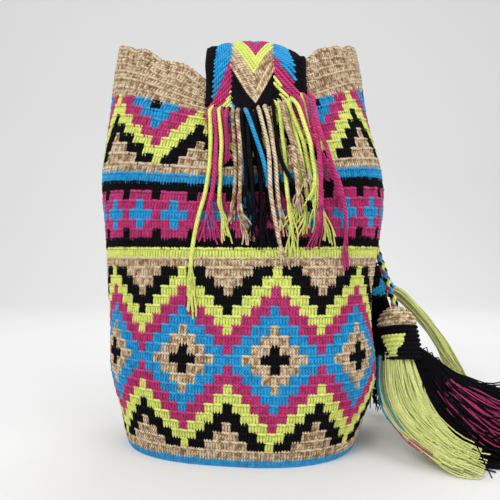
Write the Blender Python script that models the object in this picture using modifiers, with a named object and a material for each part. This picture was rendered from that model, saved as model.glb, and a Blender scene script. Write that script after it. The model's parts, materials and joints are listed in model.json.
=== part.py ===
"""Wayuu mochila: a crocheted bucket bag with a woven strap, a drawstring and two tassels.

Metres, +Z up. The front faces -Y and the origin is the centre of the base's underside.
Places on the crocheted wall are given the way a crocheter counts them: a stitch column,
counted from the front middle towards +X, and a row, counted up from the base edge.
"""
import math
from dataclasses import dataclass

import bmesh
import bpy
import numpy as np
from mathutils import Vector

# Crochet gauge
ROWS = 45
ROW_HEIGHT = 0.0060
STITCHES = 100
WALL = 0.0032
RIB = 0.0006

# Half width and half depth of the wall at its main levels
BASE_HALF_WIDTH = 0.0835
BASE_HALF_DEPTH = 0.0755
BELLY_HALF_WIDTH = 0.0950
BELLY_HALF_DEPTH = 0.0810
SHOULDER_HALF_WIDTH = 0.1015
SHOULDER_HALF_DEPTH = 0.0812
MOUTH_HALF_WIDTH = 0.0880
MOUTH_HALF_DEPTH = 0.0700
SQUARENESS = 2.6
WALL_TURN = math.radians(-9.5)
SLUMP = 0.0052

# Mouth: the rim rises at the two sides, the strap's pull tips it in at the front, and its right side folds
WAVE_START_ROW = 19
WAVE_MEAN = 0.0057
WAVE_HEIGHT = 0.0169
WAVE_TILT = 0.0030
LEAN_START_ROW = 37
LEAN_IN = 0.0140
LEAN_DROP = 0.0127
LEAN_SPREAD = math.radians(41.0)
FOLD_DROP = 0.0105
FOLD_BEARING = math.radians(90.0)
FOLD_SPREAD = math.radians(36.0)

# Strap
STRAP_WIDTH = 0.0660
STRAP_THICKNESS = 0.0035
STRAP_COLUMN = 4.6
STRAP_BACK_COLUMN = 49.6
STRAP_END_ROW = 40
STRAP_CURL = 0.0050
STRAP_DROOP = 0.0075
DROOP_LENGTH = 0.1200
ARCH_RISE = 0.0350
STRAP_BACK_GAP = 0.0140
STRAP_LAYER_GAP = 0.0105
STRAP_FLOOR_GAP = 0.0090

# Fringe, drawstring and tassels
FRINGE_DIAMETER = 0.0024
CORD_DIAMETER = 0.0045
CORD_ROW = 41.5
EYELET_CLEARANCE = 0.0004
CAP_RADIUS = 0.0154
CAP_LENGTH = 0.0390
CAP_DOME = 0.0140

# Clearances and facets
GAP = 0.0003
SEAT = 0.0006
SEGMENTS = 36
CREST_SHARE = 0.6

LIGHT_TAN = (0.62, 0.46, 0.28, 1.0)
LIME = (0.72, 0.86, 0.17, 1.0)
MAGENTA = (0.53, 0.025, 0.18, 1.0)
BLUE = (0.01, 0.36, 0.72, 1.0)
BLACK = (0.006, 0.005, 0.008, 1.0)
YARNS = {"tan": LIGHT_TAN, "lime": LIME, "magenta": MAGENTA, "blue": BLUE, "black": BLACK}
YARN_ROUGHNESS = 0.85


@dataclass(frozen=True)
class Level:
    """One level of the wall: its row, its half sizes and the place of its middle."""

    row: float
    half_width: float
    half_depth: float
    shift_x: float
    shift_y: float


LEVELS = (
    Level(0, BASE_HALF_WIDTH, BASE_HALF_DEPTH, 0.0, 0.0),
    Level(8, BELLY_HALF_WIDTH, BELLY_HALF_DEPTH, 0.001, -0.9 * SLUMP),
    Level(15, BELLY_HALF_WIDTH, BELLY_HALF_DEPTH, -0.001, -SLUMP),
    Level(31, SHOULDER_HALF_WIDTH, SHOULDER_HALF_DEPTH, -0.0005, -1.1 * SLUMP),
    Level(38, 0.5 * (SHOULDER_HALF_WIDTH + MOUTH_HALF_WIDTH), MOUTH_HALF_DEPTH + 0.0025, -0.0045, -SLUMP),
    Level(ROWS, MOUTH_HALF_WIDTH, MOUTH_HALF_DEPTH, -0.004, -SLUMP),
)
OUTLINE_SAMPLES = 361


def smooth_step(t):
    """Ease from 0 to 1 with flat ends."""
    t = min(max(t, 0.0), 1.0)
    return t * t * (3.0 - 2.0 * t)


def smooth_value(at, stations, values):
    """Value at a station of the cubic curve through the given values."""
    slopes = np.gradient(values, stations)
    i = int(min(max(np.searchsorted(stations, at) - 1, 0), len(stations) - 2))
    span = stations[i + 1] - stations[i]
    t = (at - stations[i]) / span
    start = values[i] * (1 + 2 * t) * (1 - t) ** 2 + slopes[i] * span * t * (1 - t) ** 2
    end = values[i + 1] * t * t * (3 - 2 * t) + slopes[i + 1] * span * t * t * (t - 1)
    return start + end


def level_at(row):
    """Level of the wall at any row."""
    rows = np.array([level.row for level in LEVELS], dtype=float)
    fields = ("half_width", "half_depth", "shift_x", "shift_y")
    found = [smooth_value(row, rows, np.array([getattr(level, f) for level in LEVELS])) for f in fields]
    return Level(row, *found)


def outline(row):
    """Points, outward normals and running length of the wall's outline at a row, front middle first."""
    level = level_at(row)
    turn = np.linspace(0.0, 2.0 * math.pi, OUTLINE_SAMPLES)
    power = 2.0 / SQUARENESS
    x = level.half_width * np.sign(np.sin(turn)) * np.abs(np.sin(turn)) ** power
    y = -level.half_depth * np.sign(np.cos(turn)) * np.abs(np.cos(turn)) ** power
    length = np.concatenate([[0.0], np.cumsum(np.hypot(np.diff(x), np.diff(y)))])
    cos, sin = math.cos(WALL_TURN), math.sin(WALL_TURN)
    points = np.stack([x * cos - y * sin + level.shift_x, x * sin + y * cos + level.shift_y])
    ahead = np.roll(points[:, :-1], -2, axis=1) - np.roll(points[:, :-1], 2, axis=1)
    ahead = np.concatenate([ahead, ahead[:, :1]], axis=1)
    normals = np.stack([ahead[1], -ahead[0]]) / np.hypot(*ahead)
    return points, normals, length


def stitch_width(row):
    """Width of one stitch at a row."""
    return outline(row)[2][-1] / STITCHES


def wall_point(column, row, out=0.0):
    """Point on the wall's crests, or that far outside them."""
    points, normals, length = outline(row)
    at = (column / STITCHES % 1.0) * length[-1]
    place = Vector([float(np.interp(at, length, axis)) for axis in points] + [0.0])
    normal = Vector([float(np.interp(at, length, axis)) for axis in normals] + [0.0]).normalized()
    bearing = math.atan2(place.x, -place.y)
    wave_share = min(max((row - WAVE_START_ROW) / 21.0, 0.0), 1.0) ** 1.6
    lift = (WAVE_MEAN - WAVE_HEIGHT * math.cos(2.0 * bearing) + WAVE_TILT * math.sin(bearing)) * wave_share
    lean = math.exp(-((bearing / LEAN_SPREAD) ** 2))
    fold = math.exp(-(((bearing - FOLD_BEARING) / FOLD_SPREAD) ** 2))
    mouth_share = smooth_step((row - LEAN_START_ROW) / (ROWS - LEAN_START_ROW))
    lean *= mouth_share
    place += normal * out
    place.y += LEAN_IN * lean
    place.z = row * ROW_HEIGHT + lift - LEAN_DROP * lean - FOLD_DROP * fold * mouth_share
    return place


def wall_cover(column, row, distance):
    """Point at a true distance outside the wall, square to its lean."""
    place = wall_point(column, row)
    upper = min(row + 0.5, ROWS)
    rise = wall_point(column, upper) - wall_point(column, upper - 1.0)
    outward = wall_point(column, row, 1.0) - place
    square = outward * rise.z - Vector((0.0, 0.0, rise.dot(outward)))
    return place + square.normalized() * distance


def lower_band(column, row):
    """Yarn of the wide diamond band, whose repeat is ten stitches."""
    d = abs((column - 5 + 5) % 10 - 5)
    k = 21 - row
    k = k if k <= 10 else 20 - k
    e = k - d
    steps = ((-2, "tan"), (0, "black"), (2, "lime"), (4, "magenta"), (6, "blue"), (8, "tan"))
    return next((yarn for limit, yarn in steps if e <= limit), "black")


def cross_band(column, row):
    """Yarn of the band of small crosses, whose repeat is four stitches."""
    m = (column + 6) % 4
    arm = abs(row - 26)
    if arm == 2:
        return "black" if m == 2 else "magenta"
    wide = m != 2 if arm == 0 else m == 0
    return "blue" if wide else "magenta"


def upper_band(column, row):
    """Yarn of the narrow zigzag band, whose repeat is ten stitches."""
    g = abs((column + 8 + 5) % 10 - 5)
    e = 39 - row + g
    steps = ((1, "black"), (3, "blue"), (5, "magenta"), (7, "lime"), (9, "black"))
    return next((yarn for limit, yarn in steps if e <= limit), "tan")


PLAIN_ROWS = {0: "blue", 1: "tan", 21: "tan", 22: "lime", 23: "black", 29: "black", 30: "blue", 31: "tan"}


def yarn_at(column, row):
    """Yarn of one stitch of the wall."""
    if row in PLAIN_ROWS:
        return PLAIN_ROWS[row]
    if row <= 20:
        return lower_band(column, row)
    if row <= 28:
        return cross_band(column, row)
    return upper_band(column, row) if row <= 38 else "tan"


def clear_scene():
    """Remove every object that the file opened with."""
    for obj in list(bpy.data.objects):
        bpy.data.objects.remove(obj, do_unlink=True)


def new_collection(name):
    """Collection linked to the scene."""
    found = bpy.data.collections.new(name)
    bpy.context.scene.collection.children.link(found)
    return found


def yarn_material(name, yarn):
    """Matt Principled material in a yarn's colour."""
    mat = bpy.data.materials.new(name)
    mat.use_nodes = True
    shader = mat.node_tree.nodes["Principled BSDF"]
    shader.inputs["Base Color"].default_value = YARNS[yarn]
    shader.inputs["Roughness"].default_value = YARN_ROUGHNESS
    mat.diffuse_color = YARNS[yarn]
    return mat


def add_object(name, data, collection, yarn=None):
    """Object in a collection, with a material of its own."""
    obj = bpy.data.objects.new(name, data)
    collection.objects.link(obj)
    if yarn:
        data.materials.append(yarn_material(name + "_yarn", yarn))
    return obj


def loft(name, rings):
    """Closed mesh through rings of equal count, with a flat cap on the first and the last."""
    bm = bmesh.new()
    rows = [[bm.verts.new(p) for p in ring] for ring in rings]
    count = len(rows[0])
    for low, high in zip(rows, rows[1:]):
        for i in range(count):
            j = (i + 1) % count
            bm.faces.new((low[i], low[j], high[j], high[i]))
    bm.faces.new(list(reversed(rows[0])))
    bm.faces.new(rows[-1])
    bmesh.ops.recalc_face_normals(bm, faces=bm.faces)
    mesh = bpy.data.meshes.new(name)
    bm.to_mesh(mesh)
    bm.free()
    return mesh


def smooth_curve(points, step):
    """Points at about equal steps on a smooth curve through the given ones."""
    corners = [Vector(p) for p in points]
    chords = [(b - a).length for a, b in zip(corners, corners[1:])]
    stations = np.concatenate([[0.0], np.cumsum(chords)])
    count = max(2, int(math.ceil(stations[-1] / step)) + 1)
    axes = [np.array([c[i] for c in corners]) for i in range(3)]
    return [Vector([smooth_value(s, stations, axis) for axis in axes]) for s in np.linspace(0.0, stations[-1], count)]


def tube(name, points, diameter, collection, yarn, bevel_resolution=2):
    """Round tube on a poly line, as a curve object with filled caps."""
    curve = bpy.data.curves.new(name, "CURVE")
    curve.dimensions = "3D"
    curve.bevel_depth = diameter / 2
    curve.bevel_resolution = bevel_resolution
    curve.use_fill_caps = True
    spline = curve.splines.new("POLY")
    spline.points.add(len(points) - 1)
    for spot, place in zip(spline.points, points):
        spot.co = (*place, 1.0)
    return add_object(name, curve, collection, yarn)


def tube_as_mesh(name, points, diameter, collection):
    """The same tube as a welded mesh, which can cut."""
    source = tube(name + "_curve", points, diameter, collection, None)
    bpy.context.view_layer.update()
    graph = bpy.context.evaluated_depsgraph_get()
    mesh = bpy.data.meshes.new_from_object(source.evaluated_get(graph))
    bm = bmesh.new()
    bm.from_mesh(mesh)
    bmesh.ops.remove_doubles(bm, verts=bm.verts, dist=0.00001)
    bmesh.ops.recalc_face_normals(bm, faces=bm.faces)
    bm.to_mesh(mesh)
    bm.free()
    obj = add_object(name, mesh, collection)
    obj.matrix_world = source.matrix_world
    bpy.data.objects.remove(source, do_unlink=True)
    return obj


def wall_ring(row, out, height=None):
    """One ring of the wall's facets, at its own height if one is given."""
    ring = [wall_point(STITCHES * i / SEGMENTS, row, out) for i in range(SEGMENTS)]
    for place in ring:
        place.z = place.z if height is None else height
    return ring


BASE_FLAT_INSET = 0.0045
BASE_ROUND_INSET = 0.0014
BASE_ROUND_HEIGHT = 0.0012
INNER_ROW_STEP = 4
RIM_ROUND = 0.0008


def body_rings():
    """Rings from the base's underside up the ribbed outside, over the rim and down the inside."""
    rings = [wall_ring(0, -BASE_FLAT_INSET, 0.0), wall_ring(0, -BASE_ROUND_INSET, BASE_ROUND_HEIGHT)]
    for row in range(ROWS):
        if row:
            rings.append(wall_ring(row, -RIB))
        rings.append(wall_ring(row + CREST_SHARE, 0.0))
    rings.append(wall_ring(ROWS, -RIM_ROUND))
    rings.append(wall_ring(ROWS, -WALL))
    for row in range(ROWS - INNER_ROW_STEP, 1, -INNER_ROW_STEP):
        rings.append(wall_ring(row, -WALL - RIB))
    rings.append(wall_ring(1, -WALL - BASE_FLAT_INSET, WALL))
    return rings


def paint_body(mesh):
    """Give each facet of the outside the yarn of the stitch under its middle."""
    slots = {yarn: i for i, yarn in enumerate(YARNS)}
    for yarn in YARNS:
        mesh.materials.append(yarn_material("bag_body_" + yarn, yarn))
    bands = 2 * ROWS + 1
    for index, face in enumerate(mesh.polygons):
        band, segment = divmod(index, SEGMENTS)
        column = int((segment + 0.5) * STITCHES / SEGMENTS)
        yarn = "tan" if band >= bands else yarn_at(column, min(max((band - 1) // 2, 0), ROWS - 1))
        face.material_index = slots[yarn]


def build_body(parts, cutter):
    """Crocheted base, wall and rim in one piece, with the eyelets that the drawstring runs through."""
    mesh = loft("bag_body", body_rings())
    paint_body(mesh)
    body = add_object("bag_body", mesh, parts)
    cut = body.modifiers.new("eyelets", "BOOLEAN")
    cut.operation = "DIFFERENCE"
    cut.solver = "EXACT"
    cut.object = cutter
    return body


# The drawstring's way round the wall: stitch columns where it is inside (-1) or outside (+1)
DRAWSTRING_SIDES = (
    (31.0, 1), (29.0, -1), (-26.5, -1), (-29.0, 1), (-33.5, 1), (-36.0, -1),
    (-58.2, -1), (-60.2, 1), (-62.6, 1), (-64.6, -1), (-66.0, 1),
)
DRAWSTRING_STEP = 2.0


def drawstring_out(side):
    """Distance of the drawstring's middle from the crests, outside or inside the wall."""
    clear = CORD_DIAMETER / 2 + SEAT
    return clear if side > 0 else -(WALL + RIB + clear)


def drawstring_route():
    """Points along the threaded drawstring, from one exit round the front to the other."""
    columns = np.array([c for c, _ in DRAWSTRING_SIDES])
    outs = np.array([drawstring_out(side) for _, side in DRAWSTRING_SIDES])
    span = columns[0] - columns[-1]
    count = int(span / DRAWSTRING_STEP) + 1
    route = []
    for column in np.linspace(columns[0], columns[-1], count):
        out = float(np.interp(-column, -columns, outs))
        route.append(wall_point(column, CORD_ROW, out))
    return route


# Free tails of the drawstring, from just outside the wall to the tassels' crowns
CROWN_1 = (0.1122, -0.0170, 0.0950)
CROWN_2 = (0.0991, 0.0600, 0.1308)
CAP_WAY_1 = (0.0015, -0.0100, -0.0380)
CAP_WAY_2 = (0.0165, -0.0070, -0.0265)
TAIL_1_ROUTE = (
    (0.0965, 0.0310, 0.2350), (0.1010, 0.0310, 0.1900), (0.1068, 0.0240, 0.1480),
    (0.1098, 0.0060, 0.1230), (0.1114, -0.0090, 0.1060),
)
TAIL_2_ROUTE = ((0.0910, 0.0520, 0.2300), (0.0930, 0.0590, 0.1900), (0.0945, 0.0615, 0.1600))


def tail_points(last, ahead, route, crown, way):
    """Points along a free tail, from a gap past the run's end to a gap above its tassel's crown."""
    down = Vector(way).normalized()
    end = Vector(crown) - down * GAP
    middle = smooth_curve([last + ahead * CORD_DIAMETER, *route, end - down * CORD_DIAMETER], 2.5 * CORD_DIAMETER)
    return [last + ahead * GAP, *middle, end]


def build_drawstring(parts, cutters):
    """Threaded drawstring, its two tails and the cutter for its eyelets."""
    route = drawstring_route()
    cutter = tube_as_mesh("eyelet_cutter", route, CORD_DIAMETER + 2 * EYELET_CLEARANCE, cutters)
    cutter.hide_render = True
    cutter.display_type = "WIRE"
    tube("drawstring", route, CORD_DIAMETER, parts, "blue")
    first, final = (route[0], route[1]), (route[-1], route[-2])
    tails = ((*first, TAIL_1_ROUTE, CROWN_1, CAP_WAY_1), (*final, TAIL_2_ROUTE, CROWN_2, CAP_WAY_2))
    for number, (last, before, middle, crown, way) in enumerate(tails, 1):
        points = tail_points(last, (last - before).normalized(), middle, crown, way)
        tube(f"drawstring_tail_{number}", points, CORD_DIAMETER, parts, "magenta")
    return cutter


def arch_path():
    """Middle of the strap in side view, as (y, z), from the front rim over the mouth and down behind."""
    front = wall_cover(STRAP_COLUMN, ROWS, SEAT + STRAP_THICKNESS / 2)
    back = wall_cover(STRAP_BACK_COLUMN, ROWS, SEAT + STRAP_THICKNESS / 2)
    top = front.z + ARCH_RISE
    wall_back = max(wall_point(c, r).y for c in (44, 50, 56) for r in (8, 15, 24, 31))
    inner = wall_back + STRAP_BACK_GAP
    outer = inner + STRAP_LAYER_GAP + STRAP_THICKNESS
    turn = (outer - inner) / 2
    foot = STRAP_FLOOR_GAP + STRAP_THICKNESS / 2
    over = back.z + 0.0215
    return (
        (front.y + 0.003, front.z + 0.010), (front.y + 0.008, front.z + 0.021), (front.y + 0.016, top - 0.003),
        (front.y + 0.028, top), (front.y + 0.048, top - 0.001), (0.0, over), (0.040, over - 0.002),
        (back.y, over), (outer - 0.010, over - 0.007), (outer - 0.001, over - 0.024), (outer + 0.001, 0.190),
        (outer + 0.001, 0.110), (outer, 0.050), (outer - 0.001, foot + turn), (inner + turn, foot),
        (inner + 0.001, foot + turn), (inner, 0.050), (inner, 0.110), (inner - 0.001, 0.190),
        (inner - 0.002, back.z - 0.012), (back.y + 0.010, back.z + 0.006), (back.y + 0.004, back.z + 0.009),
    )


STRAP_FACETS = 6
STRAP_STEP = 0.0140
STRAP_BLEND = 0.0260


def sewn_row(row, column, across):
    """Points across one sewn end of the strap, laid on the wall."""
    width = stitch_width(row)
    sign = 1 if column < STITCHES / 4 else -1
    return [wall_cover(column + sign * x / width, row, SEAT + STRAP_THICKNESS / 2) for x in across]


def strap_grid():
    """Rows of points across the strap, from its front end to its back end."""
    across = [STRAP_WIDTH * (i / STRAP_FACETS - 0.5) for i in range(STRAP_FACETS + 1)]
    front_rows = [sewn_row(row, STRAP_COLUMN, across) for row in range(STRAP_END_ROW, ROWS + 1)]
    back_rows = [sewn_row(row, STRAP_BACK_COLUMN, across) for row in range(ROWS - 1, STRAP_END_ROW - 1, -1)]
    middle_x = front_rows[-1][STRAP_FACETS // 2].x
    end_x = back_rows[0][STRAP_FACETS // 2].x
    path = smooth_curve([(0.0, y, z) for y, z in arch_path()], STRAP_STEP)
    total = STRAP_STEP * len(path)
    start = [p - Vector((middle_x + x, path[0].y, path[0].z)) for p, x in zip(front_rows[-1], across)]
    finish = [p - Vector((end_x + x, path[-1].y, path[-1].z)) for p, x in zip(back_rows[0], across)]
    arch_rows = []
    for i, place in enumerate(path):
        gone = i * STRAP_STEP
        fade_in = 1.0 - smooth_step(gone / STRAP_BLEND)
        rise_in = 1.0 - smooth_step((gone + STRAP_STEP) / (STRAP_BLEND + STRAP_STEP))
        fade_out = 1.0 - smooth_step((total - gone) / STRAP_BLEND)
        x_middle = middle_x + (end_x - middle_x) * gone / total
        row = []
        for j, x in enumerate(across):
            level = Vector((x_middle + x, place.y, place.z))
            level.y += start[j].y * fade_in - start[STRAP_FACETS // 2].y * fade_in
            level.z += start[j].z * rise_in - start[STRAP_FACETS // 2].z * rise_in
            level.y += finish[j].y * fade_out - finish[STRAP_FACETS // 2].y * fade_out
            level.z += finish[j].z * fade_out - finish[STRAP_FACETS // 2].z * fade_out
            curl = STRAP_CURL * (2.0 * x / STRAP_WIDTH) ** 2
            droop = STRAP_DROOP * (2.0 * max(x, 0.0) / STRAP_WIDTH) ** 2 * (1.0 - smooth_step(gone / DROOP_LENGTH))
            level.z -= (curl + droop) * (1.0 - rise_in) * (1.0 - fade_out)
            row.append(level)
        arch_rows.append(row)
    return front_rows + arch_rows + back_rows


def build_strap(parts):
    """Woven strap, sewn to the rim at the front and at the back, with its slack hanging behind."""
    bm = bmesh.new()
    rows = [[bm.verts.new(p) for p in row] for row in strap_grid()]
    for low, high in zip(rows, rows[1:]):
        for i in range(STRAP_FACETS):
            bm.faces.new((low[i], low[i + 1], high[i + 1], high[i]))
    mesh = bpy.data.meshes.new("shoulder_strap")
    bm.to_mesh(mesh)
    bm.free()
    strap = add_object("shoulder_strap", mesh, parts, "magenta")
    shell = strap.modifiers.new("thickness", "SOLIDIFY")
    shell.thickness = STRAP_THICKNESS
    shell.offset = 0.0
    shell.use_even_offset = True
    return strap


@dataclass(frozen=True)
class FringeCord:
    """A twisted yarn cord at a strap end: its name, its yarn and its way down the wall."""

    name: str
    yarn: str
    way: tuple


# Cords at the front end, the one nearest the wall first, as (stitch column, row) down the wall
FRONT_FRINGE = (
    FringeCord("tan_4", "tan", ((7.9, 39.0), (7.9, 33.4), (8.4, 29.0))),
    FringeCord("magenta_2", "magenta", ((1.2, 39.94), (1.2, 36.0), (1.0, 33.0))),
    FringeCord("lime_2", "lime", ((0.3, 39.94), (0.6, 35.1), (0.2, 31.4), (0.0, 28.4), (0.8, 24.0))),
    FringeCord("blue_1", "blue", ((2.6, 39.94), (2.7, 34.4), (2.6, 31.0), (2.9, 27.5))),
    FringeCord("black_1", "black", ((3.2, 39.94), (3.0, 33.8), (2.7, 27.1))),
    FringeCord("black_3", "black", ((4.6, 39.94), (4.2, 31.4), (4.4, 22.7))),
    FringeCord("black_2", "black", ((3.9, 39.94), (3.4, 32.6), (3.5, 26.4), (3.8, 23.7))),
    FringeCord("lime_3", "lime", ((7.3, 39.94), (6.9, 33.5), (6.6, 30.1), (7.4, 22.6))),
    FringeCord("black_4", "black", ((6.6, 39.94), (6.5, 36.0), (6.4, 31.8), (7.7, 28.6), (9.2, 26.3))),
    FringeCord("tan_3", "tan", ((7.4, 39.94), (7.6, 33.4), (7.5, 29.6), (7.6, 27.0))),
    FringeCord("lime_6", "lime", ((10.0, 39.94), (9.6, 32.1), (9.8, 28.1), (11.2, 23.5))),
    FringeCord("tan_1", "tan", ((2.0, 39.94), (1.8, 32.6), (1.5, 28.6), (1.1, 26.0))),
    FringeCord("magenta_5", "magenta", ((9.5, 39.94), (9.7, 34.3), (11.2, 30.1), (12.2, 26.9))),
    FringeCord("lime_4", "lime", ((8.1, 39.94), (8.9, 33.3), (9.0, 27.6), (9.3, 24.8))),
    FringeCord("lime_5", "lime", ((8.8, 39.94), (9.2, 35.2), (9.2, 30.0), (8.6, 27.4))),
    FringeCord("tan_2", "tan", ((2.7, 39.94), (2.6, 33.8), (2.3, 30.5), (2.2, 28.0), (3.1, 23.4))),
    FringeCord("blue_2", "blue", ((3.4, 39.94), (4.1, 36.2), (4.6, 32.5), (4.9, 29.6))),
    FringeCord("magenta_3", "magenta", ((10.2, 39.94), (10.1, 35.1), (9.6, 30.2), (9.4, 26.7), (9.4, 22.8))),
    FringeCord("magenta_4", "magenta", ((10.8, 39.94), (10.3, 33.8), (11.6, 28.9), (12.4, 26.2), (13.4, 20.8))),
    FringeCord("tan_5", "tan", ((4.9, 39.94), (5.3, 34.8), (5.1, 28.3), (6.0, 23.7), (6.8, 20.8))),
    FringeCord("tan_6", "tan", ((5.6, 39.94), (5.9, 37.0), (5.8, 33.0), (5.7, 29.0), (6.4, 24.6))),
    FringeCord("magenta_1", "magenta", ((-0.1, 39.94), (0.0, 35.8), (-0.4, 30.5), (-1.0, 27.5), (-0.8, 23.3))),
    FringeCord("lime_1", "lime", ((-0.6, 39.94), (-0.6, 35.0), (-1.3, 29.5), (-2.2, 26.0), (-2.9, 21.0), (-2.8, 16.0))),
)
BACK_FRINGE = (
    FringeCord("lime_1", "lime", ((-4.6, 39.94), (-4.7, 33.0), (-4.9, 27.6))),
    FringeCord("magenta_1", "magenta", ((-3.3, 39.94), (-3.4, 32.0), (-3.2, 26.2))),
    FringeCord("tan_1", "tan", ((-2.0, 39.94), (-2.1, 32.0), (-1.9, 24.8))),
    FringeCord("blue_1", "blue", ((-0.7, 39.94), (-0.6, 33.0), (-0.8, 27.2))),
    FringeCord("black_1", "black", ((0.7, 39.94), (0.6, 32.0), (0.8, 23.6))),
    FringeCord("tan_2", "tan", ((2.0, 39.94), (2.1, 33.0), (1.9, 26.8))),
    FringeCord("magenta_2", "magenta", ((3.3, 39.94), (3.2, 33.0), (3.4, 25.0))),
    FringeCord("lime_2", "lime", ((4.6, 39.94), (4.7, 33.0), (4.5, 28.2))),
)
DRAPE_ROW_STEP = 0.5
DRAPE_CLEARANCE = 0.0007
DRAPE_SEAT = 0.0009
FRINGE_TOP_ROW = 39.94


def spread(values):
    """Highest of each value and its two neighbours, eased along the cord but never lowered."""
    padded = np.pad(values, 1, mode="edge")
    high = np.maximum(np.maximum(padded[:-2], padded[1:-1]), padded[2:])
    eased = np.pad(high, 1, mode="edge")
    eased = (eased[:-2] + 2.0 * eased[1:-1] + eased[2:]) / 4.0
    return np.maximum(values, eased)


def drape(cords):
    """Lay cords on the wall one after another: each one's rows, columns and height over the crests."""
    pitch = FRINGE_DIAMETER + DRAPE_CLEARANCE
    width = stitch_width(30)
    laid = []
    for cord in cords:
        stations = [FRINGE_TOP_ROW - row for _, row in cord.way]
        count = int(round((FRINGE_TOP_ROW - cord.way[-1][1]) / DRAPE_ROW_STEP)) + 1
        rows = FRINGE_TOP_ROW - DRAPE_ROW_STEP * np.arange(count)
        way = np.array([column for column, _ in cord.way])
        columns = np.array([smooth_value(FRINGE_TOP_ROW - row, stations, way) for row in rows])
        height = np.full(count, DRAPE_SEAT + FRINGE_DIAMETER / 2)
        for _, under_columns, under_height in laid:
            shared = min(count, len(under_columns))
            beside = np.abs(columns[:shared] - under_columns[:shared]) * width
            over = under_height[:shared] + np.sqrt(np.clip(pitch**2 - beside**2, 0.0, None))
            height[:shared] = np.where(beside < pitch, np.maximum(height[:shared], over), height[:shared])
        laid.append((rows, columns, spread(spread(height))))
    return laid


def build_fringe(cords, side, middle_column, parts):
    """Fringe cords of one strap end, each its own tube."""
    for cord, (rows, columns, heights) in zip(cords, drape(cords)):
        corners = [wall_point(middle_column + c, r, h) for c, r, h in zip(columns, rows, heights)]
        points = smooth_curve(corners, 4.0 * FRINGE_DIAMETER)
        tube(f"fringe_{side}_{cord.name}", points, FRINGE_DIAMETER, parts, cord.yarn, bevel_resolution=1)


CAP_STEPS = 20
CAP_ROWS = 4


def build_cap(number, crown, way, parts):
    """Crocheted cap of a tassel, turned about its own axis from the crown down."""
    neck = CAP_RADIUS * 0.9
    profile = [(0.0, 0.0)]
    for i in range(1, 6):
        angle = math.radians(90.0 * i / 5)
        profile.append((neck * math.sin(angle), -CAP_DOME * (1.0 - math.cos(angle))))
    side = CAP_LENGTH - CAP_DOME
    for i in range(1, CAP_ROWS + 1):
        share = i / CAP_ROWS
        radius = neck + (CAP_RADIUS - neck) * share
        profile.append((radius - RIB, -CAP_DOME - side * (share - 0.6 / CAP_ROWS)))
        profile.append((radius, -CAP_DOME - side * (share - 0.25 / CAP_ROWS)))
    profile += [(CAP_RADIUS - 2 * RIB, -CAP_LENGTH), (0.0, -CAP_LENGTH)]
    mesh = bpy.data.meshes.new(f"tassel_{number}_cap")
    mesh.from_pydata([(r, 0.0, z) for r, z in profile], [(i, i + 1) for i in range(len(profile) - 1)], [])
    cap = add_object(f"tassel_{number}_cap", mesh, parts, "black")
    cap.location = crown
    cap.rotation_mode = "QUATERNION"
    cap.rotation_quaternion = Vector((0.0, 0.0, -1.0)).rotation_difference(Vector(way))
    screw = cap.modifiers.new("turn", "SCREW")
    screw.steps = CAP_STEPS
    screw.render_steps = CAP_STEPS
    screw.use_merge_vertices = True
    screw.merge_threshold = 0.00001
    return cap


@dataclass(frozen=True)
class Skirt:
    """A bundle of loose yarns under a cap.

    Its name and yarn, the cap's crown and way, the place of its root beside the cap's axis, the
    middle line below the root, the half width and half depth along it, and its broad side.
    """

    name: str
    yarn: str
    crown: tuple
    way: tuple
    beside: tuple
    line: tuple
    sizes: tuple
    across: tuple


SKIRTS = (
    Skirt("tassel_1_skirt_lime", "lime", CROWN_1, CAP_WAY_1, (-0.0042, 0.0, 0.0),
          ((0.1105, -0.0390, 0.0390), (0.1130, -0.0540, 0.0255),
           (0.1215, -0.0680, 0.0155), (0.1310, -0.0790, 0.0097), (0.1415, -0.0860, 0.0062)),
          ((0.0098, 0.0120), (0.0148, 0.0105), (0.0162, 0.0085), (0.0165, 0.0065), (0.0155, 0.0045), (0.0135, 0.0030)),
          (1.0, 0.1, 0.0)),
    Skirt("tassel_1_skirt_black", "black", CROWN_1, CAP_WAY_1, (0.0106, 0.0, 0.0),
          ((0.1355, -0.0285, 0.0505), (0.1425, -0.0345, 0.0420),
           (0.1535, -0.0415, 0.0325), (0.1680, -0.0480, 0.0240), (0.1850, -0.0560, 0.0185)),
          ((0.0036, 0.0080), (0.0090, 0.0085), (0.0155, 0.0080), (0.0200, 0.0075), (0.0215, 0.0065), (0.0190, 0.0045)),
          (0.38, 0.50, 0.67)),
    Skirt("tassel_2_skirt_lime", "lime", CROWN_2, CAP_WAY_2, (0.0062, 0.0, 0.0040),
          ((0.1345, 0.0480, 0.1010), (0.1451, 0.0440, 0.0893),
           (0.1634, 0.0370, 0.0643), (0.1723, 0.0300, 0.0449), (0.1800, 0.0220, 0.0250)),
          ((0.0055, 0.0090), (0.0048, 0.0070), (0.0048, 0.0060), (0.0050, 0.0055), (0.0055, 0.0050), (0.0055, 0.0040)),
          (0.8, 0.0, 0.6)),
    Skirt("tassel_2_skirt_black", "black", CROWN_2, CAP_WAY_2, (-0.0056, 0.0, -0.0036),
          ((0.1140, 0.0470, 0.0780), (0.1140, 0.0460, 0.0600),
           (0.1145, 0.0440, 0.0420), (0.1150, 0.0430, 0.0240), (0.1150, 0.0420, 0.0080)),
          ((0.0064, 0.0095), (0.0075, 0.0090), (0.0080, 0.0085), (0.0085, 0.0080), (0.0085, 0.0075), (0.0070, 0.0065)),
          (1.0, 0.0, 0.0)),
)
SKIRT_SIDES = 12


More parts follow.
